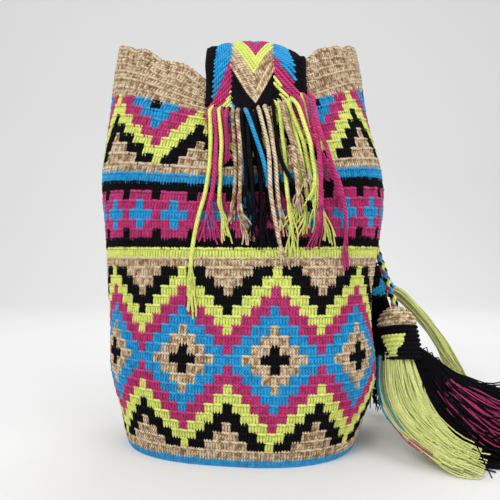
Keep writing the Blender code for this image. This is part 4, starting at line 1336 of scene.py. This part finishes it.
class Fringes:
    """The fringes at both ends of the strap: twisted cords that fray at their ends."""

    diameter = 0.0024
    clearance = 0.0007
    seat = 0.0009
    top_row = 39.94
    row_step = 0.5
    strap_column = 4.6
    overlap_rows = (0.5, 1.3)
    overlap_heights = (0.0018, 0.0021, 0.0024)
    overlap_shares = (1.0, 0.72, 0.36)
    start_heights = (0.0029, 0.0052)
    cord = CordMake(0.0026, 0.0020, 8, plies=3, lay=0.0023)
    cord_step = 0.0012
    loose = CordMake(0.0010, 0.0022, 5, plies=2, lay=0.0020)
    loose_step = 0.0024
    loose_count = 8
    loose_spread = 0.0007
    loose_wave = 0.11
    lowest = 0.0008

    @staticmethod
    def spread(values: Array) -> Array:
        """Highest of each value and its neighbours, eased but never lowered."""
        padded = np.pad(values, 1, mode="edge")
        high = np.maximum(np.maximum(padded[:-2], padded[1:-1]), padded[2:])
        eased = np.pad(high, 1, mode="edge")
        return np.maximum(values, (eased[:-2] + 2.0 * eased[1:-1] + eased[2:]) / 4.0)

    def drape(self, cords: tuple[FringeCord, ...]) -> list[tuple[Array, Array, Array]]:
        """Lay cords on the wall one after another: rows, columns and height over the crests of each."""
        pitch = self.diameter + self.clearance
        width = WALL.stitch_width(30)
        laid = []
        for cord in cords:
            stations = np.array([self.top_row - row for _, row in cord.way])
            count = int(round((self.top_row - cord.way[-1][1]) / self.row_step)) + 1
            rows = self.top_row - self.row_step * np.arange(count)
            columns = through(self.top_row - rows, stations, np.array([column for column, _ in cord.way]))
            height = np.full(count, self.seat + self.diameter / 2)
            for _, under_columns, under_height in laid:
                shared = min(count, len(under_columns))
                beside = np.abs(columns[:shared] - under_columns[:shared]) * width
                over = under_height[:shared] + np.sqrt(np.clip(pitch**2 - beside**2, 0.0, None))
                height[:shared] = np.where(beside < pitch, np.maximum(height[:shared], over), height[:shared])
            laid.append((rows, columns, self.spread(self.spread(height))))
        return laid

    def lines(self, cords: tuple[FringeCord, ...], middle: float, rng: Rng,
              twisted: dict[Yarn, list[Array]], frayed: dict[Yarn, list[Array]]) -> None:
        """Add the lines of one fringe.

        Args:
            cords: The cords of the fringe.
            middle: Stitch column of the strap end.
            rng: Source of the frayed ends' curls.
            twisted: Lines of twisted cord for each yarn, which grow.
            frayed: Lines of loose yarn for each yarn, which grow.
        """
        for cord, (rows, columns, heights) in zip(cords, self.drape(cords)):
            body = rows >= cord.way[-1][1] + cord.frayed_rows
            keep = max(3, int(body.sum()))
            lift = rng.uniform(*self.overlap_rows) * np.array(self.overlap_shares)
            width = WALL.stitch_width(self.top_row)
            across = (columns[0] - self.strap_column) * width
            zone = next((zone for zone in Strap.zones if across < zone.high), Strap.zones[-1])
            lean = 0.7 * math.tan(zone.slant) * WALL.row_height / width * lift**2 / lift[0]
            rows_up = np.concatenate([self.top_row + lift, rows[:keep]])
            columns_up = np.concatenate([columns[0] + lean, columns[:keep]])
            heights_up = np.concatenate([self.overlap_heights, heights[:keep]])
            heights_up[3:5] = np.minimum(heights_up[3:5], self.start_heights)
            corners = WALL.points(middle + columns_up, rows_up, heights_up)
            twisted[cord.yarn].append(smooth_line(corners, self.cord_step))
            tail_rows, tail_columns, tail_heights = rows[keep - 1:], columns[keep - 1:], heights[keep - 1:]
            if len(tail_rows) < 2:
                continue
            share = np.linspace(0.0, 1.0, len(tail_rows))
            for k in range(self.loose_count):
                turn = 2.0 * math.pi * k / self.loose_count
                fan = cord.fan / width * (2.0 * (k + rng.random()) / self.loose_count - 1.0)
                wave = self.loose_wave * rng.normal() * np.sin(share * math.pi * (1.5 + 1.5 * rng.random()))
                side = self.loose_spread / width * math.cos(turn) * (1 - share) + fan * share ** 1.3 + wave
                longer = tail_rows - share * rng.uniform(-0.5, 0.6)
                height = tail_heights + 0.0002 + 0.0006 * (math.sin(turn) - share)
                corners = WALL.points(middle + tail_columns + side, longer, np.maximum(height, self.lowest))
                frayed[cord.yarn].append(smooth_line(corners, self.loose_step))

    def build(self, back_column: float) -> list[Object]:
        """Fringe pieces, one for each yarn.

        Args:
            back_column: Stitch column of the strap's back end.

        Returns:
            The pieces.
        """
        rng = np.random.default_rng(37)
        twisted: dict[Yarn, list[Array]] = {yarn: [] for yarn in Yarn}
        frayed: dict[Yarn, list[Array]] = {yarn: [] for yarn in Yarn}
        self.lines(LOOSE_FRINGE + FRONT_FRINGE, 0.0, rng, twisted, frayed)
        self.lines(BACK_FRINGE, back_column, rng, twisted, frayed)
        pieces = []
        ends = (("front", FRONT_FRINGE), ("back", BACK_FRINGE))
        for yarn in Yarn:
            name = f"fringe_{yarn.value}"
            nodes = [f"fringe_{end}_{cord.name}" for end, cords in ends
                     for cord in cords if cord.yarn is yarn]
            parts = [self.cord.mesh(name + "_cords", twisted[yarn], yarn, rng),
                     self.loose.mesh(name + "_loose", frayed[yarn], yarn, rng)]
            pieces.append(add_piece(name, joined(name, parts), tuple(nodes)))
        return pieces


# Drawstring

CROWN_1 = (0.1122, -0.0170, 0.0950)
CROWN_2 = (0.0991, 0.0600, 0.1308)
CAP_WAY_1 = (0.0015, -0.0100, -0.0380)
CAP_WAY_2 = (0.0165, -0.0070, -0.0265)


class Drawstring:
    """The drawstring of four coloured plies: the run threaded through the wall and two free tails."""

    diameter = 0.0045
    row = 41.5
    seat = 0.0006
    gap = 0.0003
    lay = 0.0165
    weave = 0.0005
    sides = (
        (31.0, 1), (29.0, -1), (-26.5, -1), (-29.0, 1), (-33.5, 1), (-36.0, -1),
        (-58.2, -1), (-60.2, 1), (-62.6, 1), (-64.6, -1), (-66.0, 1),
    )
    run_step = 2.0
    tail_1 = ((0.0965, 0.0310, 0.2350), (0.1010, 0.0310, 0.1900), (0.1068, 0.0240, 0.1480),
              (0.1098, 0.0060, 0.1230), (0.1114, -0.0090, 0.1060))
    tail_2 = ((0.0910, 0.0520, 0.2300), (0.0930, 0.0590, 0.1900), (0.0945, 0.0615, 0.1600))
    plies = (BLUE, LIME, MAGENTA, BLACK)
    ply = CordMake(0.0031, 0.0014, 8, plies=3, lay=0.0030)
    ply_step = 0.0006
    ply_inset = 0.40

    def route(self) -> Array:
        """Points along the threaded run, from one exit round the front to the other."""
        columns = np.array([c for c, _ in self.sides])
        clear = self.diameter / 2 + self.seat
        inside = -(WALL.thickness + WALL.rib + clear)
        outs = np.array([clear if side > 0 else inside for _, side in self.sides])
        at = np.linspace(columns[0], columns[-1], int((columns[0] - columns[-1]) / self.run_step) + 1)
        return WALL.points(at, np.full(len(at), self.row), np.interp(-at, -columns, outs))

    def tail(self, last: Array, before: Array, route: tuple, crown: Array, way: Array) -> Array:
        """Points along a free tail, from the run's end into its tassel's crown."""
        ahead = unit(last - before)
        down = unit(way)
        corners = np.array([last + ahead * self.diameter, *route, crown - down * self.diameter])
        middle = smooth_line(corners, 2.5 * self.diameter)
        return np.vstack([last + ahead * self.gap, middle, crown - down * self.gap])

    def plied(self, name: str, line: Array, rng: Rng) -> Mesh:
        """Mesh of four coloured plies braided round a line, two each way.

        Args:
            name: Name of the mesh.
            line: Smooth centreline.
            rng: Source of the plies' tones.

        Returns:
            The mesh.
        """
        line = smooth_line(line, self.ply_step)
        side, deep = carried_frames(line)
        gone = run_length(line)
        meshes = []
        passed = 2.0 * math.pi * gone / self.lay
        for k, yarn in enumerate(self.plies):
            way = 1.0 if k < 2 else -1.0
            turn = way * passed + math.pi * (k % 2) + (0.0 if k < 2 else math.pi / 2)
            reach = self.diameter / 2 - self.ply_inset * self.ply.diameter
            reach = reach + way * self.weave * np.sin(2.0 * passed)
            strand = line + (side * np.cos(turn)[:, None] + deep * np.sin(turn)[:, None]) * reach[:, None]
            meshes.append(self.ply.mesh(f"{name}_{yarn.value}", [strand], yarn, rng))
        return joined(name, meshes)

    def build(self) -> list[tuple[Object, Array]]:
        """Build the drawstring.

        Returns:
            Each tail with its centreline.
        """
        rng = np.random.default_rng(41)
        route = self.route()
        add_piece("drawstring_run", self.plied("drawstring_run", route, rng), ("drawstring",))
        tails = []
        ends = ((route[0], route[1], self.tail_1, np.array(CROWN_1), np.array(CAP_WAY_1)),
                (route[-1], route[-2], self.tail_2, np.array(CROWN_2), np.array(CAP_WAY_2)))
        for number, end in enumerate(ends, 1):
            line = smooth_line(self.tail(*end), 0.002)
            name = f"drawstring_end_{number}"
            piece = add_piece(name, self.plied(name, line, rng), (f"drawstring_tail_{number}",))
            tails.append((piece, line))
        return tails


# Tassels


@dataclass(frozen=True)
class Accent:
    """A few yarns of another colour in a skirt, between two angles round it and two shares of its length."""

    yarn: Yarn
    count: int
    angles: tuple[float, float]
    from_share: float
    to_share: float
    reach: tuple[float, float] = (0.95, 1.1)


@dataclass(frozen=True)
class SkirtShape:
    """A bundle of loose yarns under a cap: its solid, its yarns and the shape that the bundle fills."""

    node: str
    yarn: Yarn
    beside: Point
    line: tuple[Point, ...]
    sizes: Pairs
    across: Point
    count: int
    accents: tuple[Accent, ...]
    strays: tuple[tuple[Point, ...], ...] = ()
    loops: tuple[float, ...] = ()


class TasselPattern(Enum):
    """Which figure the crocheted cap carries."""

    TRIANGLE = "triangle"
    ZIGZAG = "zigzag"


@dataclass(frozen=True)
class Tassel:
    """A tassel: a small crocheted cap and its skirts of loose yarn."""

    number: int
    crown: Point
    way: Point
    pattern: TasselPattern
    skirts: tuple[SkirtShape, ...]
    radius: float = 0.0154
    length: float = 0.0390
    dome: float = 0.0140
    stitch: float = 0.0027
    row: float = 0.0030
    figure_top: float = 0.0208
    figure_height: float = 0.0162
    figure_reach: float = 0.0100
    figure_turn: float = math.radians(-33.0)
    zigzag_depth: float = 0.0290
    zigzag_height: float = 0.0140
    zigzag_half: float = 0.0040
    core_sides: int = 32
    core_rings: int = 18
    core_inset: float = 0.0008
    unevenness: float = 0.08
    stitch_swells: Pairs = ((0.0, 0.0), (0.2, 0.85), (0.75, 1.0), (1.0, 0.0))
    strand: Strand = Strand((-0.64, -0.16), (0.60, 0.20), 0.36, 0.0009)
    stray: float = 0.35
    waviness: float = 0.0040
    spread: float = 0.36
    lowest: float = 0.0008
    yarn_make: CordMake = CordMake(0.00098, 0.0062, 4, plies=2, lay=0.0020, skein=True)

    @property
    def surface(self) -> float:
        """Length of the cap's surface from the crown to its lower edge."""
        return self.dome * 1.35 + self.length - self.dome

    def profile(self, share: float) -> tuple[float, float]:
        """Radius and depth below the crown at a share of the cap's length along its surface."""
        neck = self.radius * 0.9
        arc = self.dome * 1.35
        at = share * self.surface
        if at < arc:
            angle = at / arc * math.pi / 2
            return neck * math.sin(angle), self.dome * (1.0 - math.cos(angle))
        side = (at - arc) / (self.length - self.dome)
        return neck + (self.radius - neck) * side, self.dome + (self.length - self.dome) * side

    def axes(self) -> tuple[Array, Array, Array]:
        """The cap's downward axis, the direction that faces the front, and the one across both."""
        down = unit(np.array(self.way))
        front = np.array((0.0, -1.0, 0.0))
        front = unit(front - down * front.dot(down))
        return down, front, np.cross(front, down)

    def cap_yarn(self, angle: float, depth: float) -> Yarn:
        """Yarn of a cap stitch at an angle from the front and a depth below the crown."""
        turn = angle - self.figure_turn
        across = abs(math.atan2(math.sin(turn), math.cos(turn))) * self.radius
        if self.pattern is TasselPattern.TRIANGLE:
            if depth < self.dome:
                return TAN
            if depth < self.figure_top:
                return BLACK
            reach = self.figure_reach * (1.0 - (depth - self.figure_top) / self.figure_height)
            return LIME if reach > 0 and across < reach + 0.0012 else BLACK
        if depth < self.dome * 0.35:
            return TAN
        wave = abs((angle / (2 * math.pi) * 6) % 1.0 - 0.5) * self.zigzag_height
        return BLUE if abs(depth - self.zigzag_depth - wave) < self.zigzag_half else BLACK

    def core(self) -> Mesh:
        """Closed core of the cap, which takes its colours from the stitches over it."""
        down, front, across = self.axes()
        crown = np.array(self.crown)
        turns = 2.0 * math.pi * np.arange(self.core_sides) / self.core_sides
        around = [front * math.cos(t) + across * math.sin(t) for t in turns]
        bm = bmesh.new()
        top = bm.verts.new(crown + down * self.core_inset)
        rings = []
        for share in np.linspace(0.0, 1.0, self.core_rings + 1)[1:]:
            radius, depth = self.profile(float(share))
            middle = crown + down * depth
            rings.append([bm.verts.new(middle + way * (radius - self.core_inset)) for way in around])
        for i in range(self.core_sides):
            n = (i + 1) % self.core_sides
            bm.faces.new((top, rings[0][i], rings[0][n]))
            for low, high in zip(rings, rings[1:]):
                bm.faces.new((low[i], low[n], high[n], high[i]))
        yarns = list(Yarn)
        for face in bm.faces:
            place = np.array(face.calc_center_median()) - crown
            yarn = self.cap_yarn(math.atan2(place.dot(across), place.dot(front)), place.dot(down))
            face.material_index = yarns.index(yarn)
        bm.faces.new(rings[-1]).material_index = yarns.index(BLACK)
        core = finished(f"cap_core_{self.number}", bm)
        for yarn in yarns:
            core.materials.append(FINISHES[yarn].material())
        return core

    def cap_stitches(self) -> dict[Yarn, list[tuple[Array, Array, Array, tuple[float, ...]]]]:
        """Place, direction along the row, outward direction and size of each stitch, by its yarn."""
        down, front, across = self.axes()
        crown = np.array(self.crown)
        found: dict[Yarn, list] = {yarn: [] for yarn in Yarn}
        rows = int(self.surface / self.row)
        for k in range(rows):
            share = (k + 0.6) / rows
            radius, depth = self.profile(share)
            next_radius, next_depth = self.profile(min(share + 0.02, 1.0))
            around = 2.0 * math.pi * radius
            count = max(5, int(round(around / self.stitch)))
            for i in range(count):
                turn = 2.0 * math.pi * (i + 0.5 * (k % 2)) / count
                radial = front * math.cos(turn) + across * math.sin(turn)
                along = across * math.cos(turn) - front * math.sin(turn)
                slope = unit(down * (next_depth - depth) + radial * (next_radius - radius))
                outward = np.cross(along, slope)
                outward *= 1.0 if outward.dot(radial - 0.01 * down) > 0 else -1.0
                place = crown + down * depth + radial * (radius - 0.0002)
                size = (around / count, self.row, 1.0)
                found[self.cap_yarn(turn, depth)].append((place, along, outward, size))
        return found

    def cap(self) -> Object:
        """Crocheted cap: a closed core under rows of small stitches, each a plump slanting strand."""
        name = f"cap_{self.number}"
        verts, faces, _ = strand_forms((self.strand,), self.stitch_swells)
        stitch = in_scene("cap_stitch", closed_mesh("cap_stitch", verts, faces))
        meshes = [self.core()]
        for yarn, items in self.cap_stitches().items():
            if not items:
                continue
            data = dict(zip(("place", "along", "outward", "size"), map(np.array, zip(*items))))
            meshes.append(set_stitches(f"{name}_{yarn.value}", stitch, data, FINISHES[yarn], self.unevenness,
                                       5 + self.number))
        bpy.data.objects.remove(stitch, do_unlink=True)
        return add_piece(name, joined(name, meshes), (f"tassel_{self.number}_cap",))

    def skirt(self, shape: SkirtShape, rng: Rng) -> None:
        """Add a skirt of loose yarns that fill the bundle's shape and part a little at the ends.

        Args:
            shape: The bundle.
            rng: Source of each yarn's place and waves.
        """
        down = unit(np.array(self.way))
        beside = np.array(shape.beside)
        root = np.array(self.crown) + down * (self.length - 0.004) + beside - down * beside.dot(down)
        line = smooth_line(np.array([root, *shape.line]), 0.005)
        gone = run_length(line) / run_length(line)[-1]
        more = line[-1] - line[-2]
        line = np.vstack([line, *(line[-1] + more * k for k in (1, 2, 3))])
        gone = np.concatenate([gone, gone[-1] + (gone[-1] - gone[-2]) * np.arange(1, 4)])
        side, deep = self.cross_axes(line, np.array(shape.across))
        sizes = through(np.minimum(gone, 1.0), np.linspace(0.0, 1.0, len(shape.sizes)), np.array(shape.sizes))

        def strand(turn: float, reach: float, first: float, last: float) -> Array:
            """One yarn, from a place round the bundle and between two shares of its length."""
            angle = turn + self.stray * rng.normal() * gone
            height = self.waviness * rng.random() * gone ** 2
            wave = height * np.sin(gone * math.pi * rng.uniform(2, 6) + 6.3 * rng.random())
            swell = reach * (1.0 + self.spread * rng.normal() * gone ** 3)
            beside = side * (sizes[:, 0] * np.cos(angle))[:, None]
            beside += deep * (sizes[:, 1] * np.sin(angle))[:, None]
            way = line + beside * swell[:, None] + side * wave[:, None]
            way[:, 2] = np.maximum(way[:, 2], self.lowest)
            return way[(gone >= first) & (gone <= max(last, first + 0.2))]

        lines = []
        for _ in range(shape.count):
            turn, reach = 2.0 * math.pi * rng.random(), rng.random() ** 0.45
            lines.append(strand(turn, reach, 0.0, 0.68 + 0.39 * rng.random() ** 0.8))
        name = shape.node.replace("tassel", "skirt").replace("_skirt_", "_")
        lines += [smooth_line(np.array(way), 0.004) for way in shape.strays]
        for share in shape.loops:
            at = int(share * len(line))
            first, second, last = line[at:at + 3] + side[at:at + 3] * sizes[at:at + 3, :1] * 0.9
            rise = side[at] * rng.uniform(0.0028, 0.0050) + deep[at] * rng.uniform(-0.002, 0.004)
            lines.append(smooth_line(np.array([first, first + rise, second + rise * 1.2, last]), 0.0015))
        meshes = [self.yarn_make.mesh(name, lines, shape.yarn, rng)]
        for accent in shape.accents:
            lines = []
            for _ in range(accent.count):
                turn, reach = rng.uniform(*accent.angles), rng.uniform(*accent.reach)
                first = accent.from_share * rng.uniform(0.8, 1.5)
                lines.append(strand(turn, reach, first, accent.to_share * rng.uniform(0.85, 1.05)))
            meshes.append(self.yarn_make.mesh(f"{name}_{accent.yarn.value}", lines, accent.yarn, rng))
        add_piece(name, joined(name, meshes), (shape.node,))

    @staticmethod
    def cross_axes(line: Array, across: Array) -> tuple[Array, Array]:
        """Directions across a line: one towards a given direction, and one square to it."""
        ahead = unit(np.gradient(line, axis=0))
        side = unit(across - ahead * (ahead @ across)[:, None])
        return side, np.cross(ahead, side)

    def build(self) -> Object:
        """Add the cap, which is returned, and the skirts."""
        rng = np.random.default_rng(50 + self.number)
        cap = self.cap()
        for shape in self.skirts:
            self.skirt(shape, rng)
        return cap


TASSELS = (
    Tassel(1, CROWN_1, CAP_WAY_1, TasselPattern.TRIANGLE, (
        SkirtShape(
            "tassel_1_skirt_lime", LIME, (-0.0042, 0.0, 0.0),
            ((0.1105, -0.0390, 0.0390), (0.1130, -0.0540, 0.0255), (0.1215, -0.0680, 0.0155),
             (0.1310, -0.0790, 0.0097), (0.1415, -0.0860, 0.0062)),
            ((0.0112, 0.0120), (0.0148, 0.0105), (0.0160, 0.0085), (0.0140, 0.0065), (0.0122, 0.0045),
             (0.0100, 0.0030)),
            (1.0, 0.1, 0.0), 340,
            (Accent(BLUE, 6, (2.9, 3.4), 0.0, 0.60), Accent(MAGENTA, 4, (3.0, 3.3), 0.50, 0.80)),
        ),
        SkirtShape(
            "tassel_1_skirt_black", BLACK, (0.0106, 0.0, 0.0),
            ((0.1355, -0.0285, 0.0505), (0.1425, -0.0345, 0.0420), (0.1535, -0.0415, 0.0325),
             (0.1680, -0.0480, 0.0240), (0.1850, -0.0560, 0.0185)),
            ((0.0036, 0.0080), (0.0090, 0.0085), (0.0155, 0.0080), (0.0200, 0.0075), (0.0215, 0.0065),
             (0.0190, 0.0045)),
            (0.38, 0.50, 0.67), 300,
            (Accent(MAGENTA, 40, (1.3, 2.5), 0.34, 1.0), Accent(BLACK, 34, (1.1, 2.6), 0.0, 1.0, (1.0, 1.2)),
             Accent(BLACK, 190, (2.7, 3.8), 0.0, 1.0, (0.8, 1.75))),
            (((0.1350, -0.0600, 0.0403), (0.1394, -0.0780, 0.0259), (0.1466, -0.0950, 0.0012)),),
            (0.0, 0.02, 0.05, 0.08, 0.10, 0.13),
        ),
    )),
    Tassel(2, CROWN_2, CAP_WAY_2, TasselPattern.ZIGZAG, (
        SkirtShape(
            "tassel_2_skirt_lime", LIME, (0.0062, 0.0, 0.0040),
            ((0.1345, 0.0480, 0.1010), (0.1451, 0.0440, 0.0893), (0.1634, 0.0370, 0.0643),
             (0.1723, 0.0300, 0.0449), (0.1800, 0.0220, 0.0250)),
            ((0.0055, 0.0090), (0.0048, 0.0070), (0.0048, 0.0060), (0.0050, 0.0055), (0.0055, 0.0050),
             (0.0055, 0.0040)),
            (0.8, 0.0, 0.6), 120, (),
        ),
        SkirtShape(
            "tassel_2_skirt_black", BLACK, (-0.0056, 0.0, -0.0036),
            ((0.1140, 0.0470, 0.0780), (0.1140, 0.0460, 0.0600), (0.1145, 0.0440, 0.0420),
             (0.1150, 0.0430, 0.0240), (0.1150, 0.0420, 0.0080)),
            ((0.0064, 0.0095), (0.0075, 0.0090), (0.0080, 0.0085), (0.0085, 0.0080), (0.0085, 0.0075),
             (0.0070, 0.0065)),
            (1.0, 0.0, 0.0), 150,
            (Accent(BLUE, 4, (2.0, 5.0), 0.1, 1.0), Accent(BLACK, 70, (-0.9, 1.2), 0.0, 0.5, (0.8, 1.9))),
        ),
    )),
)


# Stage


@dataclass(frozen=True)
class Stage:
    """Plain pale floor, soft studio light and the camera."""

    lens: float = 37.195
    sensor: float = 36.0
    camera_place: Point = (0.0046, -0.4021, 0.1256)
    pitch: float = math.radians(1.79)
    aim: Point = (0.02, 0.0, 0.14)
    lamps: tuple[tuple[str, Point, float, float], ...] = (
        ("key", (-0.75, -1.15, 1.25), 0.9, 14.0), ("fill", (1.05, -0.95, 0.75), 1.1, 6.0),
        ("back", (0.2, 1.0, 1.3), 1.0, 6.0),
    )
    world_strength: float = 0.62
    floor_grey: float = 0.88
    floor_half: float = 4.0
    floor_front: float = -3.0
    floor_back: float = 1.2
    bend: float = 0.6
    wall_top: float = 3.0

    def floor(self) -> None:
        """Add the pale floor with a backdrop that rises behind it."""
        turns = np.linspace(0.2, math.pi / 2, 8)
        bent = [(self.floor_back + self.bend * math.sin(a), self.bend * (1.0 - math.cos(a))) for a in turns]
        profile = [(self.floor_front, 0.0), (self.floor_back, 0.0), *bent,
                   (self.floor_back + self.bend, self.wall_top)]
        verts = [(x, y, z) for y, z in profile for x in (-self.floor_half, self.floor_half)]
        faces = [(i, i + 1, i + 3, i + 2) for i in range(0, len(verts) - 2, 2)]
        mesh = bpy.data.meshes.new("floor")
        mesh.from_pydata(verts, [], faces)
        mesh.shade_smooth()
        mat = bpy.data.materials.new("pale_floor")
        mat.use_nodes = True
        shader = mat.node_tree.nodes["Principled BSDF"]
        shader.inputs["Base Color"].default_value = (*[self.floor_grey] * 3, 1.0)
        shader.inputs["Roughness"].default_value = 0.9
        mesh.materials.append(mat)
        floor = in_scene("floor", mesh)

    def lamp(self, name: str, place: Point, size: float, power: float) -> None:
        """Add a square area lamp that faces the bag."""
        data = bpy.data.lights.new(name, "AREA")
        data.size = size
        data.energy = power
        lamp = in_scene(name, data)
        lamp.location = place
        lamp.rotation_mode = "QUATERNION"
        lamp.rotation_quaternion = (Vector(self.aim) - Vector(place)).to_track_quat("-Z", "Y")

    def build(self) -> None:
        """Add the floor, the lamps, the world and the camera."""
        self.floor()
        for lamp in self.lamps:
            self.lamp(*lamp)
        scene = bpy.context.scene
        scene.world = bpy.data.worlds.new("soft_world")
        scene.world.use_nodes = True
        background = scene.world.node_tree.nodes["Background"]
        background.inputs["Color"].default_value = (1.0, 1.0, 1.0, 1.0)
        background.inputs["Strength"].default_value = self.world_strength
        data = bpy.data.cameras.new("camera")
        data.sensor_width = self.sensor
        data.lens = self.lens
        data.clip_start = 0.01
        scene.camera = in_scene("camera", data)
        scene.camera.location = self.camera_place
        scene.camera.rotation_euler = (math.pi / 2 + self.pitch, 0.0, 0.0)
        scene.view_settings.view_transform = "Standard"


def main() -> None:
    """Build the stage and every piece of the bag."""
    logging.basicConfig(level=logging.INFO, format="%(message)s")
    for obj in list(bpy.data.objects):
        bpy.data.objects.remove(obj, do_unlink=True)
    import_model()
    Stage().build()
    tails = Drawstring().build()
    Crochet().build()
    strap = Strap()
    web, strands = strap.build()
    fringes = Fringes().build(strap.back_column)
    log.info("strap length %.3f m", strap.length)
    for (tail, line), tassel in zip(tails, TASSELS):
        cap = tassel.build()


if __name__ == "__main__":
    main()
